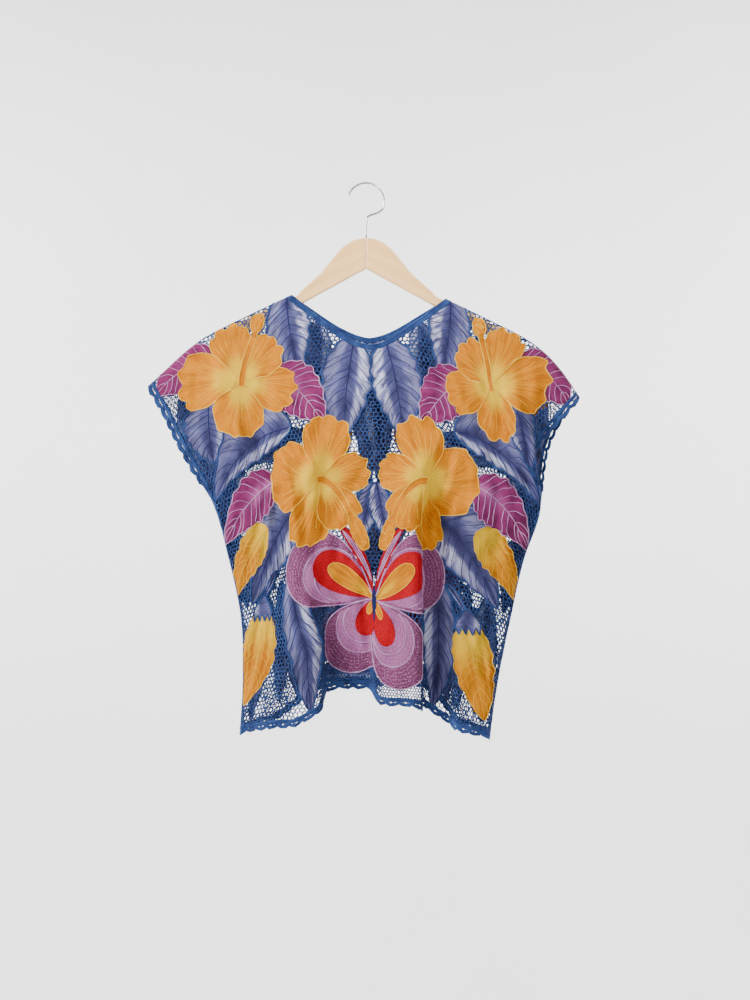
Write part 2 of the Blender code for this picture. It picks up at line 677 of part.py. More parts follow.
def main():
    for old in list(bpy.data.objects):
        bpy.data.objects.remove(old)
    collection = bpy.data.collections.new("mesh_top_on_hanger")
    bpy.context.scene.collection.children.link(collection)
    hung = build_cloth(collection)
    build_arm("hanger_arm_left", hung, -1, collection)
    build_arm("hanger_arm_right", hung, 1, collection)
    build_hook(collection)


main()
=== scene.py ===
import math

import bpy
import numpy as np
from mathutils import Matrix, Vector
from mathutils.geometry import delaunay_2d_cdt


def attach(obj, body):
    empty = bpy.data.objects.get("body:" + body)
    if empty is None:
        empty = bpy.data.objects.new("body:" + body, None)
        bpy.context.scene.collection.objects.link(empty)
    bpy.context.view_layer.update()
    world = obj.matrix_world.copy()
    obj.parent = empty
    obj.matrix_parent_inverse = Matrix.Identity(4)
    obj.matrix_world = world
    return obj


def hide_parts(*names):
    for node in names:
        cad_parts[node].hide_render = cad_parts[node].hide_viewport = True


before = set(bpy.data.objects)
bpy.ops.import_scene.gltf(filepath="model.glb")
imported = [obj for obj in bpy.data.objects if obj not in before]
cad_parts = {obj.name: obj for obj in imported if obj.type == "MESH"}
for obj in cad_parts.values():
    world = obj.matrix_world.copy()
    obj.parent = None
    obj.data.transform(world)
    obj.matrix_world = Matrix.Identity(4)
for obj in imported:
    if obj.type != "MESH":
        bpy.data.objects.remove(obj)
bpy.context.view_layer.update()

print("frame loaded:", len(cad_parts), "solids")

# A cutwork mesh top on a wooden hanger. Metres, +Z up, the front faces -Y.
# Flat places are "across" from the centre line and "below" the neck corners;
# "drop" is below the line of the shoulder seam. Each piece is drawn flat, then hung.

cut = {
    "neckHalf": 0.113, "neckDepth": {"front": 0.084, "back": 0.072}, "neckPower": 1.6,
    "tipAcross": 0.350, "tipBelow": 0.065, "underarmAcross": 0.300, "underarmBelow": 0.255,
    "hemAcross": 0.250, "hemCentreBelow": 0.590, "hemCornerBelow": 0.624,
    "hemBendStart": 0.050, "hemBendWidth": 0.130, "edging": 0.007,
}

hang = {
    "centreHeight": -0.153, "centreTopX": 0.0045, "centreSwing": 0.0075, "swingDrop": 0.300,
    "fall": 0.975, "over": 0.0079, "overDrop": 0.008, "seamDepth": 0.0004,
    "sideRoll": 0.040, "rollFrom": 0.140, "rollOver": 0.070, "slopeOver": 0.090,
    "base": {"front": (0.012, 0.450), "back": (0.010, 0.350)},
    "longest": 0.660, "acrossStep": 0.0025, "dropStep": 0.005, "gatherFrom": 0.30,
    "creasesNeed": 0.012, "deepestDent": 0.0060,
}

shoulders = {  # slope of the seam on the hanger's arm, and the droop past its end, in degrees
    -1: {"starts": 0.050, "slope": 26.0, "droop": 18.0, "from": 0.205, "to": 0.310},
    1: {"starts": 0.036, "slope": 26.0, "droop": 32.0, "from": 0.200, "to": 0.345},
}

sectionColumns = ("drop", "frontLeft", "frontRight", "backLeft", "backRight")
sections = [  # how far the hung cloth reaches to each side of its centre line
    (0.000, 0.320, 0.305, 0.320, 0.305),
    (0.050, 0.298, 0.270, 0.298, 0.276),
    (0.100, 0.280, 0.244, 0.280, 0.258),
    (0.150, 0.260, 0.238, 0.260, 0.250),
    (0.204, 0.236, 0.243, 0.236, 0.243),
    (0.300, 0.212, 0.216, 0.212, 0.216),
    (0.400, 0.193, 0.196, 0.193, 0.196),
    (0.500, 0.190, 0.178, 0.190, 0.178),
    (0.590, 0.194, 0.166, 0.194, 0.166),
    (0.660, 0.196, 0.158, 0.196, 0.158),
]

tuck = {"depth": 0.006, "drop": 0.110, "spread": 0.034, "from": 0.120, "over": 0.200}

rollColumns = ("starts", "full", "fades", "left", "right", "depth", "leftEase", "rightEase")
noFade = 9.0
rolls = {
    "front": [
        (0.200, 0.330, noFade, 0.035, 0.088, 0.036, 0.0300, 0.0185),  # fold
        (0.400, 0.520, noFade, -0.006, 0.045, 0.018, 0.0105, 0.0300),  # centre
        (0.380, 0.520, noFade, -0.190, -0.092, 0.034, 0.0400, 0.0175),  # left
        (0.360, 0.580, noFade, 0.160, 0.245, 0.020, 0.0130, 0.0200),  # right
        (0.160, 0.300, 0.500, 0.150, 0.215, 0.010, 0.0250, 0.0200),  # right bust
        (0.140, 0.300, 0.480, -0.140, -0.085, 0.012, 0.0150, 0.0120),  # left bust
        (0.030, 0.130, 0.240, 0.232, 0.312, 0.026, 0.0180, 0.0180),  # right sleeve
        (0.020, 0.100, 0.300, -0.255, -0.205, 0.012, 0.0180, 0.0180),  # left sleeve
    ],
    "back": [
        (0.200, 0.520, noFade, -0.170, -0.085, 0.016, 0.0230, 0.0210),  # left
        (0.240, 0.560, noFade, 0.045, 0.135, 0.018, 0.0220, 0.0240),  # right
        (0.030, 0.140, 0.340, -0.220, -0.150, 0.010, 0.0200, 0.0200),  # left shoulder
        (0.030, 0.140, 0.300, 0.165, 0.240, 0.012, 0.0200, 0.0200),  # right shoulder
    ],
}

sagColumns = ("starts", "full", "left", "right", "amount", "ease")
sags = [  # stretches of the front that hang lower as they stand forward
    (0.400, 0.590, 0.000, 0.094, 0.021, 0.0120),  # fold
    (0.450, 0.600, -0.160, -0.092, 0.009, 0.0160),  # left
]

# Soft creases laid over the rolls; a ridge has a positive height, a trough a negative one
creaseColumns = ("fromAcross", "fromDrop", "toAcross", "toDrop", "width", "height")
creases = {
    "front": [
        (-0.136, 0.200, -0.120, 0.400, 0.0060, 0.0043),
        (-0.112, 0.230, -0.104, 0.390, 0.0050, -0.0035),
        (-0.094, 0.215, -0.090, 0.360, 0.0050, 0.0030),
        (-0.060, 0.300, -0.048, 0.420, 0.0065, -0.0035),
        (0.028, 0.180, 0.036, 0.330, 0.0070, -0.0032),
        (0.118, 0.230, 0.128, 0.410, 0.0055, 0.0041),
        (0.140, 0.250, 0.146, 0.380, 0.0050, -0.0032),
        (-0.236, 0.110, -0.190, 0.240, 0.0065, 0.0038),
        (0.196, 0.060, 0.230, 0.190, 0.0060, -0.0035),
        (-0.200, 0.330, -0.180, 0.520, 0.0070, 0.0035),
        (-0.150, 0.420, -0.140, 0.590, 0.0060, -0.0032),
        (0.196, 0.400, 0.204, 0.560, 0.0060, 0.0032),
        (-0.028, 0.430, -0.022, 0.560, 0.0060, 0.0032),
    ],
    "back": [
        (-0.150, 0.180, -0.128, 0.380, 0.0065, 0.0041),
        (-0.070, 0.240, -0.060, 0.440, 0.0060, -0.0035),
        (0.020, 0.160, 0.016, 0.340, 0.0070, 0.0038),
        (0.092, 0.300, 0.104, 0.500, 0.0060, -0.0035),
        (0.170, 0.220, 0.184, 0.420, 0.0065, 0.0038),
        (-0.200, 0.360, -0.190, 0.560, 0.0060, -0.0032),
        (0.236, 0.090, 0.196, 0.220, 0.0060, 0.0035),
        (-0.010, 0.420, -0.020, 0.580, 0.0065, 0.0032),
    ],
}

puckerColumns = ("height", "across", "drop", "bend")
puckers = [  # uneven dimples of the stitched cloth, from broad to small
    (0.00085, 0.0130, 0.0170, 3.0),
    (0.00215, 0.0088, 0.0180, 2.2),
    (0.00140, 0.0054, 0.0115, 2.7),
    (0.00036, 0.0032, 0.0060, 1.9),
]
dimples = {"bendOver": 0.061, "bendTurn": 200.0, "sway": 0.8, "swayOver": 0.047, "from": 0.010, "over": 0.030}
bow = {"depth": 0.004, "waves": 1.5, "turn": 40.0, "ends": 0.8}  # no crease is quite straight
wrinkle = {"count": 34, "shortest": 0.045, "longest": 0.110, "lean": 0.22, "width": 0.0040,
           "height": 0.0022, "reach": 0.215, "highest": 0.030, "lowest": 0.460, "seed": 12}


def wrinkleRows(side):  # short upright creases between the longer ones
    rng = np.random.default_rng(wrinkle["seed"] + len(side))
    rows = []
    for k in range(wrinkle["count"]):
        across = rng.uniform(-wrinkle["reach"], wrinkle["reach"])
        drop = rng.uniform(wrinkle["highest"], wrinkle["lowest"])
        length = rng.uniform(wrinkle["shortest"], wrinkle["longest"])
        lean = rng.uniform(-1.0, 1.0) * wrinkle["lean"]
        height = wrinkle["height"] * rng.uniform(0.6, 1.1) * (1.0 if k % 2 else -1.0)
        width = wrinkle["width"] * rng.uniform(0.8, 1.4)
        rows.append((across, drop, across + lean * length, drop + length, width, height))
    return rows


def softStep(t):
    t = np.clip(t, 0.0, 1.0)
    return t * t * (3.0 - 2.0 * t)


def risen(value, start, full):
    return softStep((value - start) / (full - start))


def softSide(t):  # an even rise with small round corners
    return 0.5 * (1.0 + t / (1.0 + t**6) ** (1.0 / 6.0))


def unitSteps(count):
    return np.linspace(0.0, 1.0, count)


def stacked(*parts):  # coordinates side by side
    return np.stack(parts, axis=-1)


def ringOf(count):  # round a circle, without its end
    turn = np.linspace(0.0, math.tau, count + 1)[:-1]
    return stacked(np.cos(turn), np.sin(turn))


def lengthsAlong(line):
    return np.concatenate([[0.0], np.cumsum(np.hypot(*np.diff(line, axis=0).T))])


def rowsOf(columns, table):
    return [dict(zip(columns, row)) for row in table]


def shoulderBelow(across):
    slope = cut["tipBelow"] / (cut["tipAcross"] - cut["neckHalf"])
    return slope * np.clip(np.abs(across) - cut["neckHalf"], 0.0, None)


def sideAcross(below):
    levels = (cut["tipBelow"], cut["underarmBelow"], cut["hemCornerBelow"])
    return np.interp(below, levels, (cut["tipAcross"], cut["underarmAcross"], cut["hemAcross"]))


sideBelow = np.linspace(cut["tipBelow"], cut["hemCornerBelow"], 200)
sideDrops = sideBelow - shoulderBelow(sideAcross(sideBelow))


def sideAcrossAtDrop(drop):
    return np.interp(drop, sideDrops, sideAcross(sideBelow))


def neckHalf(inset):
    return cut["neckHalf"] + 1.3 * inset


def hemDrop(across):
    bend = softStep((np.abs(across) - cut["hemBendStart"]) / cut["hemBendWidth"])
    below = cut["hemCentreBelow"] + (cut["hemCornerBelow"] - cut["hemCentreBelow"]) * bend
    return below - shoulderBelow(across)


underarmDrop = cut["underarmBelow"] - float(shoulderBelow(cut["underarmAcross"]))
cornerDrop = float(hemDrop(cut["hemAcross"]))


# How the cloth hangs

def seamSlope(across):
    side = shoulders[1 if across > 0 else -1]
    onArm = side["slope"] * softStep((abs(across) - side["starts"]) / hang["slopeOver"])
    return math.radians(onArm + side["droop"] * risen(abs(across), side["from"], side["to"]))


def rollDepth(side, across, drop):
    total = np.zeros(np.broadcast(across, drop).shape)
    for roll in rowsOf(rollColumns, rolls[side]):
        grown = risen(drop, roll["starts"], roll["full"])
        if roll["fades"] < noFade:
            grown = grown * (1.0 - risen(drop, roll["full"], roll["fades"]))
        rise = softSide((across - roll["left"]) / roll["leftEase"])
        sink = softSide((across - roll["right"]) / roll["rightEase"])
        total = total + roll["depth"] * grown * (rise - sink)
    return total


def sheetDepth(side, across, drop):  # out from the middle plane: over the hanger, rolls, rolled side edges
    over = (1.0 - np.clip(1.0 - drop / hang["overDrop"], 0.0, 1.0) ** 2) ** 0.5
    base, baseDrop = hang["base"][side]
    depth = hang["over"] * over + base * softStep(drop / baseDrop) + rollDepth(side, across, drop)
    inside = sideAcrossAtDrop(drop) - np.abs(across)
    edge = 1.0 - (1.0 - np.clip(1.0 - inside / hang["sideRoll"], 0.0, 1.0) ** 2) ** 0.5
    edge = edge * softStep((drop - hang["rollFrom"]) / hang["rollOver"])
    return hang["seamDepth"] + depth * (1.0 - edge)


def sag(side, across, drop):
    total = np.zeros(np.broadcast(across, drop).shape)
    for row in rowsOf(sagColumns, sags) if side == "front" else []:
        rise, sink = [softSide((across - row[end]) / row["ease"]) for end in ("left", "right")]
        total = total + row["amount"] * risen(drop, row["starts"], row["full"]) * (rise - sink)
    return total


creaseRows = {side: rowsOf(creaseColumns, creases[side] + wrinkleRows(side)) for side in creases}


def creaseHeight(side, across, drop):
    total = np.zeros(np.broadcast(across, drop).shape)
    for row in rowsOf(puckerColumns, puckers):
        turn = row["bend"] * np.sin(drop / dimples["bendOver"] + dimples["bendTurn"] * row["across"])
        sway = dimples["sway"] * np.sin(across / dimples["swayOver"])
        waves = np.sin(across / row["across"] + turn) * np.sin(drop / row["drop"] + sway)
        total = total + row["height"] * waves
    total = total * softStep((drop - dimples["from"]) / dimples["over"])
    for crease in creaseRows[side]:
        start = np.array([crease["fromAcross"], crease["fromDrop"]])
        along = np.array([crease["toAcross"], crease["toDrop"]]) - start
        t = ((across - start[0]) * along[0] + (drop - start[1]) * along[1]) / (along @ along)
        arch = math.pi * np.clip(t, 0.0, 1.0)
        off = ((across - start[0]) * along[1] - (drop - start[1]) * along[0]) / math.hypot(*along)
        off = off + bow["depth"] * np.sin(arch * bow["waves"] + bow["turn"] * start[0])
        ends = np.sin(arch) ** bow["ends"]
        total = total + crease["height"] * ends * np.exp(-(off / crease["width"]) ** 2)
    dent = hang["deepestDent"]
    return np.where(total < 0.0, dent * np.tanh(total / dent), total)


def smoothTable(places, values, at):
    slopes = np.gradient(values, places)
    k = np.clip(np.searchsorted(places, at) - 1, 0, len(places) - 2)
    span = places[k + 1] - places[k]
    t = np.clip((at - places[k]) / span, 0.0, 1.0)
    return ((2 * t**3 - 3 * t**2 + 1) * values[k] + (t**3 - 2 * t**2 + t) * span * slopes[k]
            + (3 * t**2 - 2 * t**3) * values[k + 1] + (t**3 - t**2) * span * slopes[k + 1])


def summed(slopes):  # from the centre line outwards
    steps = 0.5 * (slopes[..., 1:] + slopes[..., :-1]) * hang["acrossStep"]
    middle = slopes.shape[-1] // 2
    total = np.zeros_like(slopes)
    total[..., middle + 1:] = np.cumsum(steps[..., middle:], axis=-1)
    total[..., :middle] = -np.cumsum(steps[..., :middle][..., ::-1], axis=-1)[..., ::-1]
    return total


def hangSheet(side):  # a row keeps its length; its outer part is gathered to the sections' reach
    across = np.arange(-0.400, 0.4001, hang["acrossStep"])
    drops = np.arange(0.0, hang["longest"], hang["dropStep"])
    grid, rows = np.meshgrid(across, drops)
    slope = np.array([seamSlope(a) for a in across])
    flatSlope = cut["tipBelow"] / (cut["tipAcross"] - cut["neckHalf"])
    stretch = np.where(np.abs(across) > cut["neckHalf"], math.hypot(1.0, flatSlope), 1.0)
    sink = np.sin(slope) * stretch
    seam = np.abs(summed(sink))
    depthSlope = np.gradient(sheetDepth(side, grid, rows), hang["acrossStep"], axis=1)
    way = np.sqrt(np.clip(stretch**2 - sink**2 - depthSlope**2, 0.001, None))
    x = summed(way)
    table = np.array(sections)
    edge = sideAcrossAtDrop(drops)
    for sign, column in ((-1, side + "Left"), (1, side + "Right")):
        wanted = smoothTable(table[:, 0], table[:, sectionColumns.index(column)], drops)
        found = [abs(np.interp(sign * e, across, row)) for e, row in zip(edge, x)]
        gathered = softStep((sign * across / edge[:, None] - hang["gatherFrom"]) / (1.0 - hang["gatherFrom"]))
        x += sign * (wanted - np.array(found))[:, None] * gathered
    x += hang["centreTopX"] + hang["centreSwing"] * softStep(rows / hang["swingDrop"])
    if side == "front":
        near = np.exp(-((rows - tuck["drop"]) / tuck["spread"]) ** 2)
        x -= tuck["depth"] * near * softStep((grid - tuck["from"]) / tuck["over"])
    return {"side": side, "across": across, "drops": drops, "x": x, "seam": seam}


def placeOn(sheet, across, drop):  # world points of flat points
    across, drop = np.asarray(across, float), np.asarray(drop, float)
    i = np.clip((across - sheet["across"][0]) / hang["acrossStep"], 0, len(sheet["across"]) - 1.001)
    j = np.clip(drop / hang["dropStep"], 0, len(sheet["drops"]) - 1.001)
    a, b = i.astype(int), j.astype(int)
    u, v = i - a, j - b
    grid = sheet["x"]
    x = ((grid[b, a] * (1 - u) + grid[b, a + 1] * u) * (1 - v)
         + (grid[b + 1, a] * (1 - u) + grid[b + 1, a + 1] * u) * v)
    depth = sheetDepth(sheet["side"], across, drop)
    depth = depth + creaseHeight(sheet["side"], across, drop) * softStep(depth / hang["creasesNeed"])
    y = depth * (-1.0 if sheet["side"] == "front" else 1.0)
    z = hang["centreHeight"] - np.interp(across, sheet["across"], sheet["seam"]) - hang["fall"] * drop
    z = z - sag(sheet["side"], across, drop)
    return stacked(x, y, z)


def normalsOn(sheet, across, drop):  # outwards, square to the hung cloth
    step = 0.0004
    inwards = -np.sign(across + 1e-9) * step
    here = placeOn(sheet, across, drop)
    along = (placeOn(sheet, across + inwards, drop) - here) * np.sign(inwards)[:, None]
    down = placeOn(sheet, across, drop + step) - here
    square = np.cross(along, down)
    if sheet["side"] == "front":
        square = -square
    square = square / np.linalg.norm(square, axis=-1)[:, None]
    outwards = -1.0 if sheet["side"] == "front" else 1.0
    return square * np.where(square[:, 1:2] * outwards < -0.2, -1.0, 1.0)


sheets = {side: hangSheet(side) for side in ("front", "back")}
print("the hung sheets are worked out")


# Flat lines and areas

def neckLine(side, inset, count=60):
    half = neckHalf(inset)
    across = half * np.sin(np.linspace(-0.5, 0.5, count + 1) * math.pi)
    reach = np.clip(np.abs(across) / half, 0.0, 1.0)
    return stacked(across, (cut["neckDepth"][side] + inset) * (1.0 - reach ** cut["neckPower"]))


def cuffLine(sign, inset, count=60):
    below = np.linspace(cut["tipBelow"], cut["underarmBelow"], count + 1)
    drop = np.linspace(0.0, underarmDrop, count + 1)
    return stacked(sign * (sideAcross(below) - inset), drop)


def hemLine(inset, count=110):
    across = np.linspace(-1.0, 1.0, count + 1) * (cut["hemAcross"] - 0.0003)
    return stacked(across, hemDrop(across) - inset)


def sideLine(sign, count=70):
    drop = np.linspace(underarmDrop, cornerDrop - cut["edging"], count + 1)
    return stacked(sign * sideAcrossAtDrop(drop), drop)


def seamLine(sign, count=46):
    across = np.linspace(neckHalf(cut["edging"]), cut["tipAcross"] - cut["edging"], count + 1)
    return stacked(sign * across, 0.0 * across)


def panelOutline(side):
    inset = cut["edging"]
    right = [seamLine(1)[1:-1], cuffLine(1, inset)[:-1], sideLine(1)[:-1]]
    left = [part * [-1.0, 1.0] for part in right]
    parts = [neckLine(side, inset), *right, hemLine(inset)[::-1], *[part[::-1] for part in left[::-1]]]
    return np.concatenate(parts)


def lowered(points):  # (across, drop) to (across, below)
    return stacked(points[:, 0], points[:, 1] + shoulderBelow(points[:, 0]))


def raised(points):  # (across, below) to (across, drop)
    return stacked(points[:, 0], points[:, 1] - shoulderBelow(points[:, 0]))


def insideOutline(outline, points):
    found = np.zeros(len(points), bool)
    near = np.all((points >= outline.min(axis=0)) & (points <= outline.max(axis=0)), axis=1)
    px, py = points[near].T
    hit = np.zeros(len(px), bool)
    for (x0, y0), (x1, y1) in zip(outline, np.roll(outline, -1, axis=0)):
        if y0 != y1:
            crosses = (y0 > py) != (y1 > py)
            hit ^= crosses & (px < (x1 - x0) * (py - y0) / (y1 - y0) + x0)
    found[near] = hit
    return found


def pointsAt(at, length, line):
    return stacked(*[np.interp(at, length, column) for column in line.T])


def evenly(line, step, closed=False):  # the same line with points a step apart
    if closed:
        line = np.concatenate([line, line[:1]])
    length = lengthsAlong(line)
    count = max(2, round(length[-1] / step))
    points = pointsAt(np.linspace(0.0, length[-1], count + 1), length, line)
    return points[:-1] if closed else points


def runsOf(points, keep):  # the stretches of a line whose points are kept
    runs, start = [], None
    for k, kept in enumerate([*keep, False]):
        if kept and start is None:
            start = k
        if not kept and start is not None:
            if k - start > 2:
                runs.append(points[start:k])
            start = None
    return runs


# The figures. Each is drawn on one half and again, a little differently, on the other

leafShape = {
    "fullest": 0.75, "blunt": 0.80, "lobes": 7.0, "ruffle": 0.055, "fineSize": 0.4, "fineLobes": 29.0,
    "midrib": (1.9, 0.8), "veins": 8, "forward": 0.17, "veinFrom": 0.05, "veinSpan": 0.80, "veinReach": 0.94,
    "veinEnd": 0.985, "veinless": 0.010,
}

leafColumns = ("base", "bend", "tip", "leftWidth", "rightWidth")
leaves = {
    "violetLeaf": {
        "neck": ((0.121, -0.004), (0.121, 0.056), (0.103, 0.120), 0.031, 0.035),
        "breast": ((0.022, 0.072), (0.040, 0.150), (0.044, 0.226), 0.034, 0.038),
        "centre": ((0.003, 0.288), (0.010, 0.330), (0.024, 0.380), 0.018, 0.016),
        "sleeve": ((0.256, 0.122), (0.272, 0.166), (0.277, 0.214), 0.046, 0.044),
        "arm": ((0.122, 0.197), (0.205, 0.190), (0.288, 0.264), 0.026, 0.050),
        "slanting": ((0.118, 0.318), (0.172, 0.336), (0.242, 0.436), 0.048, 0.046),
        "low": ((0.128, 0.408), (0.138, 0.510), (0.120, 0.606), 0.029, 0.031),
        "bud stem": ((0.146, 0.418), (0.168, 0.432), (0.186, 0.458), 0.006, 0.006),
    },
    "magentaLeaf": {
        "outer shoulder": ((0.228, 0.086), (0.290, 0.056), (0.344, 0.084), 0.036, 0.032),
        "inner shoulder": ((0.143, 0.108), (0.106, 0.136), (0.070, 0.203), 0.034, 0.038),
        "side": ((0.160, 0.268), (0.225, 0.278), (0.286, 0.332), 0.037, 0.034),
        "antenna heart": ((0.046, 0.360), (0.016, 0.396), (0.004, 0.434), 0.0028, 0.0028),
    },
    "goldCloth": {
        "petal": ((0.190, 0.334), (0.236, 0.350), (0.284, 0.418), 0.029, 0.027),
        "bud": ((0.188, 0.462), (0.196, 0.530), (0.216, 0.604), 0.038, 0.037),
    },
    "redCloth": {
        "antenna": ((0.052, 0.350), (0.014, 0.392), (0.002, 0.450), 0.0075, 0.0075),
    },
}
behind = [  # more leaves on the back, under the others, where the net of the front is widest
    ((0.004, 0.074), (0.012, 0.170), (0.006, 0.290), 0.022, 0.024),  # middle
    ((0.074, 0.046), (0.084, 0.110), (0.088, 0.196), 0.024, 0.026),  # beside neck
    ((0.098, 0.206), (0.180, 0.226), (0.262, 0.206), 0.022, 0.020),  # over arm
    ((0.302, 0.098), (0.304, 0.170), (0.290, 0.248), 0.026, 0.022),  # by the cuff
    ((0.262, 0.326), (0.268, 0.380), (0.256, 0.440), 0.024, 0.018),  # hip
    ((0.060, 0.440), (0.084, 0.480), (0.090, 0.560), 0.022, 0.022),  # under wing
    ((0.220, 0.420), (0.234, 0.520), (0.228, 0.612), 0.030, 0.022),  # flank
    ((0.166, 0.420), (0.168, 0.520), (0.164, 0.604), 0.026, 0.024),  # beside
    ((0.004, 0.292), (0.018, 0.360), (0.006, 0.446), 0.020, 0.026),  # middle low
    ((0.000, 0.572), (0.050, 0.562), (0.104, 0.586), 0.016, 0.016),  # under
    ((0.236, 0.200), (0.270, 0.250), (0.276, 0.350), 0.030, 0.034),  # under arm
]

calyx = {"place": (0.186, 0.455), "length": 0.030, "width": 0.026, "turn": -0.14, "teeth": 4}
leftBudMove = (0.026, -0.018)  # the bud of the left half sits further out and higher

petalShape = {
    "swirl": 0.10, "ruffle": 0.030, "lobes": 5.0, "shoulder": 3.2, "pointed": 0.45,
    "fineWaves": ((0.6, 12.7), (0.35, 33.0)), "veins": (-0.66, -0.40, -0.14, 0.12, 0.38, 0.64),
    "veinFrom": (0.30, 0.38), "veinTo": (0.74, 0.93), "veinPinch": 0.55,
}

flowers = {  # each petal: its angle up from outwards, its reach and half its spread; angles in degrees
    "shoulder": {
        "centre": (0.199, 0.115),
        "petals": [(76, 0.086, 35), (14, 0.106, 36), (282, 0.080, 56), (197, 0.090, 34), (138, 0.078, 38)],
        "pistil": [(0.199, 0.122), (0.196, 0.082), (0.166, 0.052), (0.165, 0.020)],
    },
    "breast": {
        "centre": (0.078, 0.283),
        "petals": [(10, 0.094, 54), (286, 0.097, 36), (97, 0.093, 36), (166, 0.071, 38), (238, 0.080, 38)],
        "pistil": [(0.084, 0.283), (0.058, 0.282), (0.040, 0.318), (0.012, 0.388)],
    },
}

pistilShape = {"stalk": 0.0052, "head": 0.0115, "headLength": 0.26, "bumps": 11, "knots": 18, "knot": 0.0017}

wingColumns = ("finish", "from", "to", "reach", "blunt")
butterfly = {
    "centre": (0.001, 0.459),
    "wings": [
        ("wingCloth", -106, -14, 0.120, 0.42),
        ("redCloth", -100, -34, 0.060, 0.50),
        ("goldCloth", -86, -42, 0.026, 0.60),
        ("wingCloth", -14, 70, 0.154, 0.42),
        ("redCloth", 2, 68, 0.104, 0.50),
        ("goldCloth", 14, 60, 0.080, 0.62),
    ],
    "band": 0.74, "marks": (0.74, 0.60),
    "body": {"length": 0.046, "width": 0.0032},
}

edgeThreads = {  # the stitched line round each kind of figure: its thread and its radius
    "petalCloth": ("yellowThread", 0.00080), "goldCloth": ("yellowThread", 0.00065),
    "violetLeaf": ("denimCord", 0.00115), "magentaLeaf": ("lilacThread", 0.00080),
    "wingCloth": ("lilacThread", 0.00105), "redCloth": ("redThread", 0.00050),
    "navyCloth": ("navyThread", 0.00060),
}
veinThreads = {
    "petalCloth": ("yellowThread", 0.00034), "goldCloth": ("yellowThread", 0.00030),
    "violetLeaf": ("navyThread", 0.00050), "magentaLeaf": ("lilacThread", 0.00050),
}


def bentLine(points, t):
    points = np.asarray(points, float)
    t = np.asarray(t, float)[:, None]
    if len(points) == 3:
        return (1 - t) ** 2 * points[0] + 2 * t * (1 - t) * points[1] + t**2 * points[2]
    return ((1 - t) ** 3 * points[0] + 3 * t * (1 - t) ** 2 * points[1]
            + 3 * t**2 * (1 - t) * points[2] + t**3 * points[3])


def alongLine(line, offset, out):  # a line beside another
    return line + out * offset[:, None]


def nearest(points, line):
    far = np.hypot(points[:, None, 0] - line[None, :, 0], points[:, None, 1] - line[None, :, 1])
    return far.argmin(axis=1), far.min(axis=1)


def figureOf(finish, outline, local, tone, veins):
    return {"finish": finish, "outline": outline, "local": local, "tone": tone, "veins": veins}


def angled(points, centre):  # how far each point is and its angle, up being positive
    away = points - centre
    return np.hypot(*away.T), np.arctan2(-away[:, 1], away[:, 0])


def aimedFrom(centre, far, turn):
    return centre + stacked(far * np.cos(turn), -far * np.sin(turn))


def sideways(line):
    along = np.gradient(line, axis=0)
    along = along / np.hypot(*along.T)[:, None]
    return stacked(-along[:, 1], along[:, 0])


def drawLeaf(row, rng):
    s = unitSteps(61)
    middle = bentLine((row["base"], row["bend"], row["tip"]), s)
    out = sideways(middle)
    swell = np.sin(math.pi * s ** leafShape["fullest"]) ** leafShape["blunt"]
    phase, tone = rng.uniform(0.0, math.tau, 2), rng.uniform()
    lobes = leafShape["lobes"] * rng.uniform(0.9, 1.15)
    widths = []
    for width, turn in zip((row["leftWidth"], row["rightWidth"]), phase):
        fine = leafShape["fineSize"] * np.sin(leafShape["fineLobes"] * s + turn)
        wave = leafShape["ruffle"] * (np.sin(math.tau * lobes * s + turn) + fine)
        widths.append(width * swell * (1.0 + wave))
    left, right = alongLine(middle, widths[0], out), alongLine(middle, -widths[1], out)
    outline = np.concatenate([left[:-1], right[:0:-1]])

    def local(points):
        near, _ = nearest(points, middle)
        offset = np.einsum("ij,ij->i", points - middle[near], out[near])
        width = np.where(offset > 0, widths[0][near], widths[1][near])
        return stacked(s[near], offset / np.maximum(width, 0.002))

    veins = []
    if row["finish"] in veinThreads:
        thread, radius = veinThreads[row["finish"]]
        count = leafShape["veins"] if max(row["leftWidth"], row["rightWidth"]) > leafShape["veinless"] else 0
        veins.append((middle[2:-2], thread, np.linspace(*leafShape["midrib"], 57) * radius))
        for k in range(count):
            for sign, width in ((1.0, widths[0]), (-1.0, widths[1])):
                q = unitSteps(12)
                along = leafShape["veinFrom"] + leafShape["veinSpan"] * (k + rng.uniform(0.2, 0.7)) / count
                along = along + leafShape["forward"] * q**1.2
                reach = leafShape["veinReach"] * q * np.interp(along, s, width)
                line = pointsAt(along, s, middle) + sign * pointsAt(along, s, out) * reach[:, None]
                veins.append((line[along < leafShape["veinEnd"]], thread, radius))
    return figureOf(row["finish"], outline, local, tone, veins)


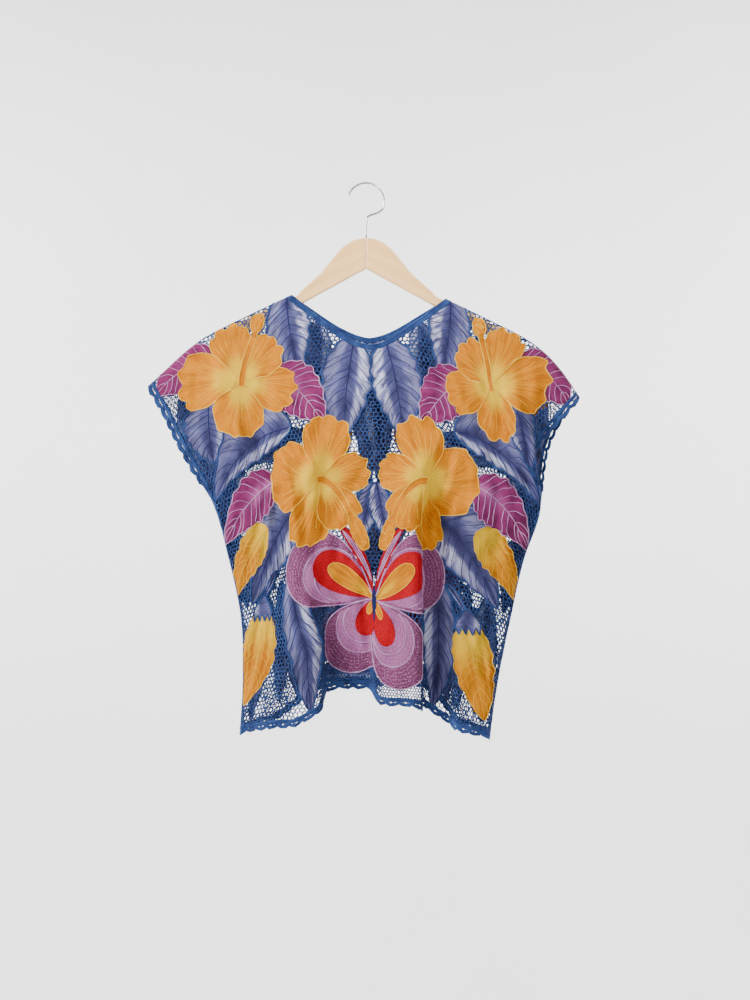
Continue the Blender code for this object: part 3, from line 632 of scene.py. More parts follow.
def drawPetal(centre, angle, reach, spread, rng):
    centre = np.array(centre)
    angle, spread = math.radians(angle), math.radians(spread)
    phase, tone = rng.uniform(0.0, math.tau, 3), rng.uniform()
    swirl = petalShape["swirl"] * rng.uniform(0.5, 1.5)

    def reachAt(q):
        wave = np.sin(petalShape["lobes"] * math.pi * q + phase[0])
        for (size, lobes), start in zip(petalShape["fineWaves"], phase[1:]):
            wave = wave + size * np.sin(lobes * q + start)
        wave = petalShape["ruffle"] * wave * (1.0 - q**4)
        return reach * (1.0 + wave) * (1.0 - petalShape["pointed"] * np.abs(q) ** petalShape["shoulder"])

    def pointAt(q, s):
        return aimedFrom(centre, s * reachAt(q), angle + spread * q + swirl * (s - 0.5))

    q = np.linspace(-1.0, 1.0, 61)
    s = unitSteps(25)
    full = np.ones_like(s)
    rim = pointAt(q, np.ones_like(q))
    outline = np.concatenate([pointAt(-full, s)[:-1], rim, pointAt(full, s[::-1])[1:-1]])

    def local(points):
        away, turn = angled(points, centre)
        turn = (turn - angle + math.pi) % math.tau - math.pi
        far = away / reachAt(np.clip(turn / spread, -1.0, 1.0))
        side = np.clip((turn - swirl * (far - 0.5)) / spread, -1.0, 1.0)
        return stacked(far, side)

    thread, radius = veinThreads["petalCloth"]
    veins = []
    for q0 in petalShape["veins"]:
        q0 = q0 + rng.uniform(-0.07, 0.07)
        s = np.linspace(rng.uniform(*petalShape["veinFrom"]), rng.uniform(*petalShape["veinTo"]), 14)
        pinch = petalShape["veinPinch"]
        veins.append((pointAt(q0 * (pinch + (1.0 - pinch) * s), s), thread, radius))
    return figureOf("petalCloth", outline, local, tone, veins)


def drawPistil(route, rng):
    t = unitSteps(60)
    line = bentLine(route, t)
    out = sideways(line)
    start = 1.0 - pistilShape["headLength"]
    head = np.clip((t - start) / pistilShape["headLength"], 0.0, 1.0)
    bumps = 1.0 + 0.16 * np.sin(head * pistilShape["bumps"] * math.pi)
    width = pistilShape["stalk"] * (1.0 - 0.25 * t) + (pistilShape["head"] - pistilShape["stalk"]) * (
        np.sin(math.pi * np.clip(head, 0.0, 1.0)) ** 0.5) * bumps
    outline = np.concatenate([alongLine(line, width, out), alongLine(line, -width, out)[::-1]])

    def local(points):
        near, far = nearest(points, line)
        return stacked(0.55 + 0.45 * t[near], far / width[near])

    veins = []
    for _ in range(pistilShape["knots"]):  # on the head
        at = np.array([rng.uniform(start + 0.03, 0.99), rng.uniform(-0.75, 0.75)])
        middle = np.array([np.interp(at[0], t, line[:, i] + at[1] * out[:, i] * width) for i in (0, 1)])
        turn = np.linspace(0.0, math.tau, 8)
        ring = middle + pistilShape["knot"] * stacked(np.cos(turn), np.sin(turn))
        veins.append((ring, "yellowThread", 0.0004))
    return figureOf("petalCloth", outline, local, rng.uniform(), veins)


def drawWing(wing, rng):
    centre = np.array(butterfly["centre"])
    low, high = math.radians(wing["from"]), math.radians(wing["to"])
    phase = rng.uniform(0.0, math.tau)

    def reachAt(q):
        return wing["reach"] * np.clip(np.sin(math.pi * q), 0.0, 1.0) ** wing["blunt"] * (
            1.0 + 0.012 * np.sin(9.0 * q + phase))

    q = unitSteps(91)

    def lineAt(s):
        return aimedFrom(centre, s * reachAt(q), low + (high - low) * q)

    def local(points):
        far, turn = angled(points, centre)
        side = np.clip((turn - low) / (high - low), 0.0, 1.0)
        return stacked(far / np.maximum(reachAt(side), 0.004), 2.0 * side - 1.0)

    marks = butterfly["marks"] if wing["finish"] == "wingCloth" else []
    veins = [(lineAt(mark)[8:-8], "lilacThread", 0.00085) for mark in marks]
    return figureOf(wing["finish"], lineAt(1.0)[:-1], local, rng.uniform(), veins)


def drawCalyx(rng):
    count = calyx["teeth"]
    teeth = []
    for k in range(count):
        teeth += [((k + 0.5) / count, 1.0), ((k + 1.0) / count, 0.62)]
    shape = [(0.42, -0.25), (0.58, -0.25), (0.95, 0.40), *[(1.0 - a, b) for a, b in teeth], (0.05, 0.40)]
    turn = calyx["turn"]
    points = []
    for a, b in shape:
        u, v = (a - 0.5) * 2.0 * calyx["width"], b * calyx["length"]
        points.append((calyx["place"][0] + u * math.cos(turn) - v * math.sin(turn),
                       calyx["place"][1] + u * math.sin(turn) + v * math.cos(turn)))
    outline = evenly(np.array(points), 0.0025, closed=True)

    def local(points):
        away = (points - calyx["place"]) / (calyx["length"], calyx["width"])
        return stacked(np.clip(away[:, 1], 0.0, 1.0), np.clip(away[:, 0], -1.0, 1.0))

    return figureOf("violetLeaf", outline, local, rng.uniform(), [])


def leafOf(finish, row, rng):
    return drawLeaf({"finish": finish, **dict(zip(leafColumns, row))}, rng)


def drawHalf(rng, side):  # the lowest figure first
    finishes = {name: finish for finish, rows in leaves.items() for name in rows}

    def drawn(*names):
        return [leafOf(finishes[name], leaves[finishes[name]][name], rng) for name in names]

    figures = [leafOf("violetLeaf", row, rng) for row in behind] if side == "back" else []
    figures += drawn("centre", "neck", "breast", "sleeve", "arm", "low", "slanting", "side", "petal",
                     "outer shoulder", "inner shoulder")
    figures += [{**figure, "bud": True} for figure in [*drawn("bud stem", "bud"), drawCalyx(rng)]]
    figures += [drawWing(wing, rng) for wing in rowsOf(wingColumns, butterfly["wings"])]
    figures += drawn("antenna", "antenna heart")
    for flower in flowers.values():
        figures += [drawPetal(flower["centre"], *petal, rng) for petal in flower["petals"]]
        figures.append(drawPistil(flower["pistil"], rng))
    return figures


def mirrored(figure):  # the same figure on the left half
    flip = np.array([-1.0, 1.0])
    move = np.array(leftBudMove if figure.get("bud") else (0.0, 0.0))
    local = figure["local"]
    return {**figure, "outline": (figure["outline"] + move) * flip,
            "local": lambda points: local(points * flip - move),
            "veins": [((line + move) * flip, thread, radius) for line, thread, radius in figure["veins"]]}


def drawFigures(side):
    rng = np.random.default_rng({"front": 21, "back": 34}[side])
    right, left = drawHalf(rng, side), [mirrored(figure) for figure in drawHalf(rng, side)]
    figures = [figure for both in zip(left, right) for figure in both]
    length, width = butterfly["body"]["length"], butterfly["body"]["width"]
    top = butterfly["centre"][1] - 0.35 * length
    spine = [(0.0, top + share * length) for share in (0.0, 0.5, 1.0)]
    figures.append(leafOf("navyCloth", (*spine, width, width), rng))
    return figures


def topFigure(points, figures):  # the number of the uppermost figure at each flat point
    top = np.full(len(points), -1)
    for k, figure in enumerate(figures):
        top[insideOutline(figure["outline"], points)] = k
    return top


# The cloth of the figures

clothSizes = {"wall": 0.0006, "points": 0.0045, "clearance": 0.0017, "outlineStep": 0.0030}
seamRows = (0.0008, 0.0022, 0.0044, 0.0072)
finishOrder = ("petalCloth", "violetLeaf", "magentaLeaf", "goldCloth", "wingCloth", "redCloth", "navyCloth")


honeycomb = 0.866  # between rows, as a share of the step along them


def levelRow(across, height):
    return stacked(across, np.full_like(across, height))


def innerPoints(outline, lines):  # a honeycomb of points, clear of the drawn lines
    step = clothSizes["points"]
    points = []
    for k, below in enumerate(np.arange(0.0, cut["hemCornerBelow"], step * honeycomb)):
        start = -cut["tipAcross"] + (0.5 * step if k % 2 else 0.0)
        points.append(levelRow(np.arange(start, cut["tipAcross"], step), below))
    points = np.concatenate(points)
    points = points[points[:, 1] - shoulderBelow(points[:, 0]) > seamRows[-1] + 0.5 * step]
    across = np.arange(-cut["tipAcross"], cut["tipAcross"], step)
    points = np.concatenate([points, *[lowered(levelRow(across, drop)) for drop in seamRows]])
    cell = clothSizes["clearance"]
    keys = np.round(np.concatenate(lines) / cell).astype(int)
    taken = {(a + i, b + j) for a, b in keys.tolist() for i in (-1, 0, 1) for j in (-1, 0, 1)}
    free = [tuple(key) not in taken for key in np.round(points / cell).astype(int).tolist()]
    free = np.array(free) | (points[:, 1] - shoulderBelow(points[:, 0]) < seamRows[-1] + 0.0002)
    return points[free & insideOutline(outline, points)]


def triangulated(flat, edges, close):
    flat, _, faces, _, _, _ = delaunay_2d_cdt(flat.tolist(), edges, [], 0, close)
    return np.array([tuple(p) for p in flat]), np.array([tuple(f) for f in faces])


def edgePairs(faces):
    return np.concatenate([faces[:, [0, 1]], faces[:, [1, 2]], faces[:, [2, 0]]])


def cutCloth(side, figures):  # flat triangles, each with the figure that it is a part of
    outline = lowered(panelOutline(side))
    step = clothSizes["outlineStep"]
    loops = [outline] + [evenly(figure["outline"], step, closed=True) for figure in figures]
    dense = [evenly(loop, 0.0015, closed=True) for loop in loops]
    points = innerPoints(outline, dense)
    edges, first = [], 0
    for loop in loops:
        edges += [(first + k, first + (k + 1) % len(loop)) for k in range(len(loop))]
        first += len(loop)
    flat = np.concatenate([*loops, points])
    flat, faces = triangulated(flat, edges, 1e-6)
    corners = flat[faces]
    middles = corners.mean(axis=1)
    (ax, ay), (bx, by) = (corners[:, 1] - corners[:, 0]).T, (corners[:, 2] - corners[:, 0]).T
    area = 0.5 * np.abs(ax * by - ay * bx)
    top = topFigure(middles, figures)
    keep = (top >= 0) & insideOutline(outline, middles) & (area > 1e-10)
    return flat, faces[keep], top[keep], float(area[keep].sum())


def setMap(mesh, name, values):
    mesh.uv_layers.new(name=name).data.foreach_set("uv", np.asarray(values, np.float32).ravel())


def meshOf(name, points, faces):
    mesh = bpy.data.meshes.new(name)
    mesh.from_pydata(points, [], faces)
    mesh.shade_smooth()
    return mesh


def paintFaces(mesh, numbers):
    mesh.polygons.foreach_set("material_index", numbers.astype(np.int32))


def addObject(name, data):
    made = bpy.data.objects.new(name, data)
    bpy.context.scene.collection.objects.link(made)
    return made


def addPiece(mesh, materialNames, replaced=()):
    for finish in materialNames:
        mesh.materials.append(materials[finish])
    piece = addObject(mesh.name, mesh)
    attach(piece, "root")
    if replaced:
        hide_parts(*replaced)
    return piece


def buildCloth(side, figures):
    flat, faces, top, area = cutCloth(side, figures)
    used, faces = np.unique(faces, return_inverse=True)
    flat, faces = flat[used], faces.reshape(-1, 3)
    sheet = sheets[side]
    places = raised(flat)
    places[:, 1] = np.clip(places[:, 1], 0.0, None)
    middle = placeOn(sheet, *places.T)
    offset = normalsOn(sheet, *places.T) * clothSizes["wall"] / 2.0
    facing = np.cross(middle[faces[:, 1]] - middle[faces[:, 0]], middle[faces[:, 2]] - middle[faces[:, 0]])
    if (facing * offset[faces[:, 0]]).sum() < 0.0:
        faces = faces[:, ::-1]
    count = len(flat)
    pairs = edgePairs(faces)
    owners = np.tile(top, 3)
    known = {tuple(pair) for pair in pairs.tolist()}
    border = [k for k, (a, b) in enumerate(pairs.tolist()) if (b, a) not in known]
    rim = [(b, a, a + count, b + count) for a, b in pairs[border].tolist()]
    skins = faces.tolist() + (faces[:, ::-1] + count).tolist()
    points = np.concatenate([middle + offset, middle - offset])
    mesh = meshOf(side + "Figures", points.tolist(), skins + rim)
    loopFigure = np.concatenate([np.repeat(top, 3), np.repeat(top, 3), np.repeat(owners[border], 4)])
    loopPoint = np.array([v % count for face in skins + rim for v in face])
    local = np.zeros((len(loopPoint), 2))
    for k, figure in enumerate(figures):
        mine = loopFigure == k
        if mine.any():
            local[mine] = figure["local"](flat[loopPoint[mine]])
    tones = np.array([figure["tone"] for figure in figures])
    setMap(mesh, "clothMap", flat[loopPoint])
    setMap(mesh, "figureMap", local)
    setMap(mesh, "toneMap", stacked(tones[loopFigure], 0.1 * loopFigure))
    numbers = np.array([finishOrder.index(figure["finish"]) for figure in figures])
    faceFigure = np.concatenate([top, top, owners[border]])
    paintFaces(mesh, numbers[faceFigure])
    piece = addPiece(mesh, finishOrder, [side + "_panel"])
    print(side, "figures:", len(mesh.polygons), "faces,", round(area, 4), "square metres of cloth")
    return piece, area


# Threads and cords: round tubes that lie on the hung cloth

def threadMesh(name, side, runs, sides, finishes):  # each run: a flat line, a radius, a lift off the cloth
    sheet = sheets[side]
    flat = np.concatenate([run["line"] for run in runs])
    counts = np.array([len(run["line"]) for run in runs])
    radius = np.concatenate([np.broadcast_to(run["radius"], n) for run, n in zip(runs, counts)])
    lift = np.concatenate([np.broadcast_to(run.get("lift", 0.0), n) for run, n in zip(runs, counts)])
    starts = np.concatenate([[0], np.cumsum(counts)[:-1]])
    index = np.arange(len(flat))
    owner = np.repeat(np.arange(len(runs)), counts)
    first, last = starts[owner], starts[owner] + counts[owner] - 1
    closed = np.array([bool(run.get("closed")) for run in runs])[owner]
    before = np.where(index > first, index - 1, np.where(closed, last, index))
    after = np.where(index < last, index + 1, np.where(closed, first, index))
    drop = np.clip(flat[:, 1], 0.0, None)
    out = normalsOn(sheet, flat[:, 0], drop)
    centre = placeOn(sheet, flat[:, 0], drop) + out * lift[:, None]
    along = centre[after] - centre[before]
    size = np.linalg.norm(along, axis=1)
    along = along / np.maximum(size, 1e-9)[:, None]
    out = out - along * np.einsum("ij,ij->i", out, along)[:, None]
    out = out / np.maximum(np.linalg.norm(out, axis=1), 1e-9)[:, None]
    across = np.cross(along, out)
    turn = math.tau * (np.arange(sides) + 0.5) / sides
    ring = out[:, None] * np.cos(turn)[None, :, None] + across[:, None] * np.sin(turn)[None, :, None]
    points = (centre[:, None] + ring * radius[:, None, None]).reshape(-1, 3)
    joins = index[(index < last) | closed]
    k = np.arange(sides)
    a, b = joins[:, None] * sides, after[joins][:, None] * sides
    nextK = (k + 1) % sides
    quads = stacked(a + k, b + k, b + nextK, a + nextK)[:, :, ::-1].reshape(-1, 4)
    ends = [s for s, run in zip(starts, runs) if not run.get("closed")]
    tips = [s + n - 1 for s, n, run in zip(starts, counts, runs) if not run.get("closed")]
    caps = [tuple(s * sides + k) for s in ends] + [tuple(t * sides + k[::-1]) for t in tips]
    mesh = meshOf(name, points.tolist(), quads.tolist() + [tuple(int(v) for v in cap) for cap in caps])
    step = np.where(index > first, np.linalg.norm(centre - centre[before], axis=1), 0.0)
    total = np.cumsum(step)
    length = total - total[first]
    ahead = length[joins] + np.linalg.norm(centre[after[joins]] - centre[joins], axis=1)
    q, r = [stacked(*np.broadcast_arrays(reach[:, None], k / sides)) for reach in (length[joins], ahead)]
    turnStep = np.array([0.0, 1.0 / sides])
    quadMap = np.stack([q, r, r + turnStep, q + turnStep], axis=2)[:, :, ::-1].reshape(-1, 2)
    capMap = np.zeros((len(caps) * sides, 2))
    setMap(mesh, "threadMap", np.concatenate([quadMap, capMap]))
    numbers = np.array([finishes.index(run["finish"]) for run in runs])
    capOwners = [owner[s] for s in ends] + [owner[t] for t in tips]
    faceOwner = np.concatenate([np.repeat(owner[joins], sides), np.array(capOwners, int)]).astype(int)
    paintFaces(mesh, numbers[faceOwner])
    return mesh


threadFinishes = ("yellowThread", "lilacThread", "navyThread", "denimCord", "redThread")
threadStep = 0.0026


def buildThreads(side, figures):
    lift = clothSizes["wall"] / 2.0
    jobs = []
    for k, figure in enumerate(figures):
        thread, radius = edgeThreads[figure["finish"]]
        jobs.append((k, evenly(figure["outline"], threadStep, closed=True), thread, radius, True))
        jobs += [(k, evenly(line, threadStep), name, size, False) for line, name, size in figure["veins"]]
    points = np.concatenate([line for _, line, _, _, _ in jobs])
    tops = topFigure(points, figures)
    within = insideOutline(lowered(panelOutline(side)), points)
    runs, first = [], 0
    for k, line, name, size, closed in jobs:
        part = slice(first, first + len(line))
        first += len(line)
        shown = within[part] & (tops[part] <= k if closed else tops[part] == k)
        if closed and shown.all():
            runs.append({"line": raised(line), "radius": size, "finish": name, "lift": lift, "closed": True})
            continue
        if closed and shown.any():  # start where it is hidden
            turn = int(np.argmin(shown))
            line, shown = np.roll(line, -turn, axis=0), np.roll(shown, -turn)
        for run in runsOf(np.arange(len(line)), shown):
            thick = np.interp(run / (len(line) - 1.0), np.linspace(0, 1, np.size(size)), np.atleast_1d(size))
            runs.append({"line": raised(line[run]), "radius": thick, "finish": name,
                         "lift": lift + 0.2 * thick})
    mesh = threadMesh(side + "Threads", side, runs, 5, threadFinishes)
    print(side, "threads:", len(runs), "runs,", len(mesh.polygons), "faces")
    return addPiece(mesh, threadFinishes)


def cord(line, radius, lift=0.0, **more):
    return {"line": line, "radius": radius, "lift": lift, "finish": "denimCord", **more}


# The net between the figures: cells that don't quite match, as hand-tied ones do

net = {"pitch": 0.0066, "jitter": 0.24, "thread": 0.00098, "least": 0.0012, "seed": 5, "margin": 0.012,
       "denseAcross": 0.112, "denseBelow": 0.562, "densePitch": 0.0042, "tuckedUnder": 0.13}


def seedPoints(pitch, rng):
    rows = np.arange(-net["margin"], cut["hemCornerBelow"] + net["margin"], pitch * honeycomb)
    seeds = []
    for k, below in enumerate(rows):
        start = -cut["tipAcross"] - net["margin"] + (0.5 * pitch if k % 2 else 0.0)
        seeds.append(levelRow(np.arange(start, cut["tipAcross"] + net["margin"], pitch), below))
    seeds = np.concatenate(seeds)
    seeds = seeds + rng.uniform(-1.0, 1.0, seeds.shape) * net["jitter"] * pitch
    return seeds, (np.abs(seeds[:, 0]) < net["denseAcross"]) & (seeds[:, 1] > net["denseBelow"])


def cellEdges(rng):  # smaller cells over the middle of the hem
    (wide, left), (fine, kept) = seedPoints(net["pitch"], rng), seedPoints(net["densePitch"], rng)
    seeds = np.concatenate([wide[~left], fine[kept]])
    flat, faces = triangulated(seeds, [], 1e-7)
    a, b, c = flat[faces[:, 0]], flat[faces[:, 1]], flat[faces[:, 2]]
    middles = (a + b + c) / 3.0
    pairs = np.sort(edgePairs(faces), axis=1)
    number = np.tile(np.arange(len(faces)), 3)
    order = np.lexsort(pairs.T)
    pairs, number = pairs[order], number[order]
    same = np.flatnonzero(np.all(pairs[1:] == pairs[:-1], axis=1))
    return middles[number[same]], middles[number[same + 1]]


def buildNet(side, figures):
    rng = np.random.default_rng(net["seed"] + len(side))
    start, end = cellEdges(rng)
    outline = lowered(panelOutline(side))
    within = insideOutline(outline, start) | insideOutline(outline, end)
    start, end = start[within], end[within]
    covered = np.stack([topFigure(start + (end - start) * t, figures) for t in (0.0, 0.5, 1.0)])
    lie = (covered < 0).any(axis=0)
    start, end = start[lie], end[lie]
    t = unitSteps(9)
    samples = start[:, None] + (end - start)[:, None] * t[None, :, None]
    flat = samples.reshape(-1, 2)
    free = (insideOutline(outline, flat) & (topFigure(flat, figures) < 0)).reshape(-1, len(t))
    runs = []
    for k in np.flatnonzero(free.any(axis=1)):
        freeSteps = t[free[k]]
        low, high = max(0.0, freeSteps[0] - net["tuckedUnder"]), min(1.0, freeSteps[-1] + net["tuckedUnder"])
        a, b = start[k] + (end[k] - start[k]) * low, start[k] + (end[k] - start[k]) * high
        if math.dist(a, b) < net["least"]:
            continue
        steep = min(a[1] - shoulderBelow(a[0]), b[1] - shoulderBelow(b[0])) < 0.012
        line = a + (b - a) * unitSteps(6 if steep else 2)[:, None]
        line[1:-1] += rng.normal(0.0, 0.00018, (len(line) - 2, 2))
        thick = net["thread"] * rng.uniform(0.80, 1.25)
        runs.append(cord(raised(line), thick, rng.uniform(-0.0001, 0.0002)))
    mesh = threadMesh(side + "Net", side, runs, 4, ("denimCord",))
    print(side, "net:", len(runs), "threads,", len(mesh.polygons), "faces")
    return addPiece(mesh, ("denimCord",))


# Corded edgings of the neck, the cuffs and the hem, and the seams

edging = {
    "scallop": 0.020, "depth": 0.0035, "cord": 0.00160, "inner": 0.00135, "bride": 0.00095,
    "brideStep": 0.0030, "cuffBrideStep": 0.0060, "cuffBride": 0.00070, "picot": 0.0021, "picotCord": 0.0009,
    "fadeFrom": 0.012, "fadeOver": 0.025, "step": 0.0012, "round": 0.7,
    "waved": ((1.0, -0.0004, "cord"), (0.9, -0.0024, "inner")),  # share of a scallop's depth, and how far in
    "straight": ((0.66, "inner"), (0.97, "cord")), "hemOnly": ((0.40, "bride"),),  # share of the width
    "brideFoot": 0.97, "brideHead": 0.0012, "picotIn": 0.0001, "picotSize": 0.72,
}


def scallopedRuns(line, outwards, fade):  # line runs along the edge itself
    outwards = np.array(outwards)
    line = evenly(line, edging["step"])
    length = np.linspace(0.0, np.hypot(*np.diff(line, axis=0).T).sum(), len(line))
    count = max(1, round(length[-1] / edging["scallop"]))
    wave = np.abs(np.sin(math.pi * count * length / length[-1])) ** edging["round"]
    if fade:
        wave = wave * softStep((underarmDrop - line[:, 1] - edging["fadeFrom"]) / edging["fadeOver"])
    width, depth, still = cut["edging"], edging["depth"], np.ones_like(wave)
    bands = [(depth * share * wave + shift, size) for share, shift, size in edging["waved"]]
    straight = edging["straight"] + (() if fade else edging["hemOnly"])
    bands += [(-width * share * still, size) for share, size in straight]
    runs = [cord(line + outwards * amount[:, None], edging[size]) for amount, size in bands]
    step = max(1, round(edging["cuffBrideStep" if fade else "brideStep"] / edging["step"]))
    t = unitSteps(4)[:, None]
    for k in range(step, len(line) - step, step):
        lean = k + (step // 2 if (k // step) % 2 else -(step // 2))
        inner = line[k] - outwards * width * edging["brideFoot"]
        outer = line[lean] + outwards * (depth * wave[lean] - edging["brideHead"])
        runs.append(cord(inner + (outer - inner) * t, edging["cuffBride" if fade else "bride"]))
    ring = edging["picot"] * ringOf(9)
    for k in range(2 * step, len(line) - 2 * step, 4 * step):  # small loops along the outer cord
        if wave[k] > 0.5:
            middle = line[k] + outwards * (depth * wave[k] - edging["picotIn"])
            runs.append(cord(middle + edging["picotSize"] * ring, edging["picotCord"], closed=True))
    return runs


neckBand = {"cords": ((0.0010, 0.00140), (0.0030, 0.00110), (0.0047, 0.00110), (0.0064, 0.00140)),
            "bride": 0.0005, "picot": 0.0015, "picots": 46, "brides": 110}


def neckRuns(side):
    runs = [cord(neckLine(side, inset, 150), radius) for inset, radius in neckBand["cords"]]
    count = neckBand["brides"]
    inner, outer = neckLine(side, 0.0008, count), neckLine(side, 0.0064, count)
    t = unitSteps(4)[:, None]
    for k in range(2, count - 1):
        runs.append(cord(inner[k] + (outer[k + k % 2] - inner[k]) * t, neckBand["bride"]))
    ring = neckBand["picot"] * ringOf(8)
    for middle in neckLine(side, 0.0066, neckBand["picots"])[3:-3]:  # on the side of the cloth
        runs.append(cord(middle + ring, neckBand["bride"], closed=True))
    return runs


def cordPiece(name, side, runs, replaced=()):
    mesh = threadMesh(name, side, runs, 6, ("denimCord",))
    print(name, len(mesh.polygons), "faces")
    return addPiece(mesh, ("denimCord",), replaced)


def buildEdgings():
    pieces = {"front": [], "back": []}
    for side in pieces:
        jobs = [("neckCord", "neck_edging_", neckRuns(side))]
        for word, sign in (("Left", -1), ("Right", 1)):
            runs = scallopedRuns(cuffLine(sign, 0.0), (sign, 0.0), True)
            jobs.append(("cuffCord" + word, "cuff_edging_" + word.lower() + "_", runs))
        jobs.append(("hemCord", "hem_edging_", scallopedRuns(hemLine(0.0), (0.0, 1.0), False)))
        pieces[side] = [cordPiece(name + side.capitalize(), side, runs, [node + side])
                        for name, node, runs in jobs]
    return pieces


sideBand = {"insets": (0.0030, 0.0058), "radius": 0.0012, "zigzag": 0.0075, "step": 0.0036, "tie": 0.0009,
            "tieLift": 0.0003}
seam = {"shoulder": 0.0009, "shoulderLift": -0.0003, "side": 0.0010}


def bandRuns(sign):  # cords down the side, tied by a zigzag
    line = evenly(sideLine(sign), 0.0040)
    runs = [cord(line - [sign * inset, 0.0], sideBand["radius"]) for inset in sideBand["insets"]]
    ties = evenly(sideLine(sign), sideBand["step"])
    ties[::2, 0] -= sign * sideBand["zigzag"]
    return [*runs, cord(evenly(ties, 0.5 * sideBand["step"]), sideBand["tie"], sideBand["tieLift"])]


def buildSeams():
    runs = []
    for sign in (-1, 1):
        runs.append(cord(evenly(seamLine(sign), 0.0030), seam["shoulder"], seam["shoulderLift"]))
        runs += [cord(evenly(sideLine(sign), 0.0040), seam["side"]), *bandRuns(sign)]
    cordPiece("seamCords", "front", runs)
    cordPiece("sideCords", "back", bandRuns(-1) + bandRuns(1))


# Finishes. The shorthands below put one node each into the material that is being drawn

paints = {
    "petal": (206, 124, 1), "petalDeep": (180, 98, 1), "petalPale": (222, 178, 26),
    "petalBright": (218, 144, 2), "slate": (66, 66, 104), "periwinkle": (88, 90, 138), "dusk": (42, 40, 72),
    "lilacWhite": (202, 202, 230), "magenta": (128, 44, 94), "magentaPale": (168, 86, 142),
    "magentaDeep": (100, 28, 72), "gold": (202, 126, 1), "goldPale": (222, 178, 24), "goldDeep": (176, 98, 1),
    "plum": (106, 44, 82), "mauve": (146, 82, 128), "fleck": (196, 142, 184), "red": (182, 5, 22),
    "redDeep": (136, 3, 18), "navy": (30, 34, 80), "denimDeep": (24, 36, 80), "denimPale": (60, 90, 148),
    "yellowThread": (250, 216, 78), "lilacThread": (224, 188, 226), "navyThread": (38, 38, 96),
    "redThread": (164, 6, 30), "wood": (252, 202, 130), "woodDark": (234, 162, 86), "wire": (205, 206, 208),
    "wall": (218, 218, 220),
}
materials = {}
drawing = {"tree": None}


def paint(name):
    parts = [c / 255.0 for c in paints[name]]
    return (*[c / 12.92 if c <= 0.04045 else ((c + 0.055) / 1.055) ** 2.4 for c in parts], 1.0)


def joined(value, socket):
    if isinstance(value, bpy.types.NodeSocket):
        drawing["tree"].links.new(value, socket)
    else:
        socket.default_value = value


def addNode(kind, inputs, **settings):
    made = drawing["tree"].nodes.new(kind)
    for name, value in settings.items():
        setattr(made, name, value)
    for name, value in inputs.items():
        joined(value, made.inputs[name])
    return made.outputs


def worked(operation, first, *others, clamp=False):  # from left to right
    for other in others:
        first = addNode("ShaderNodeMath", {0: first, 1: other}, operation=operation, use_clamp=clamp)[0]
    return first


def plus(*parts, clamp=False):
    return worked("ADD", *parts, clamp=clamp)


def minus(a, b):
    return worked("SUBTRACT", a, b)


def times(*parts):
    return worked("MULTIPLY", *parts)


def divided(a, b):
    return worked("DIVIDE", a, b)


def sine(turns):
    return worked("SINE", turns, 0.0)


def absolute(value):
    return worked("ABSOLUTE", value, 0.0)


def mixed(factor, a, b, blend="MIX"):
    return addNode("ShaderNodeMix", {0: factor, 6: a, 7: b}, data_type="RGBA", blend_type=blend)[2]


def ranged(value, low, high, toLow=0.0, toHigh=1.0):
    inputs = {"Value": value, "From Min": low, "From Max": high, "To Min": toLow, "To Max": toHigh}
    return addNode("ShaderNodeMapRange", inputs, interpolation_type="SMOOTHSTEP")[0]


def noise(vector, scale=1.0, detail=3.0, roughness=0.55):
    inputs = {"Vector": vector, "Scale": scale, "Detail": detail, "Roughness": roughness}
    return addNode("ShaderNodeTexNoise", inputs)[0]


def strokes(x, y, z, detail):  # noise drawn out along one way
    return noise(addNode("ShaderNodeCombineXYZ", {0: x, 1: y, 2: z})[0], 1.0, detail)


def shaded(colour, shade):
    grey = addNode("ShaderNodeCombineColor", {0: shade, 1: shade, 2: shade})[0]
    return mixed(1.0, colour, grey, "MULTIPLY")


def mapped(name):
    place = addNode("ShaderNodeUVMap", {}, uv_map=name)[0]
    parts = addNode("ShaderNodeSeparateXYZ", {0: place})
    return place, parts[0], parts[1]


def objectPlace():
    return addNode("ShaderNodeTexCoord", {})["Object"]


def startMaterial(name, uniform):
    material = bpy.data.materials.new(name)
    material.use_nodes = True
    drawing["tree"] = material.node_tree
    sockets = material.node_tree.nodes["Principled BSDF"].inputs
    for setting, value in uniform.items():
        sockets[setting].default_value = value
    materials[name] = material
    return sockets


def finishMaterial(sockets, colour, rough, height, strength, distance):
    bump = addNode("ShaderNodeBump", {"Height": height, "Strength": strength, "Distance": distance})[0]
    for name, value in (("Base Color", colour), ("Roughness", rough), ("Normal", bump)):
        joined(value, sockets[name])


weave = {"thread": 0.00095, "stitchGap": 0.0036, "bump": 0.45, "stitchPale": 1.25, "specular": 0.08}


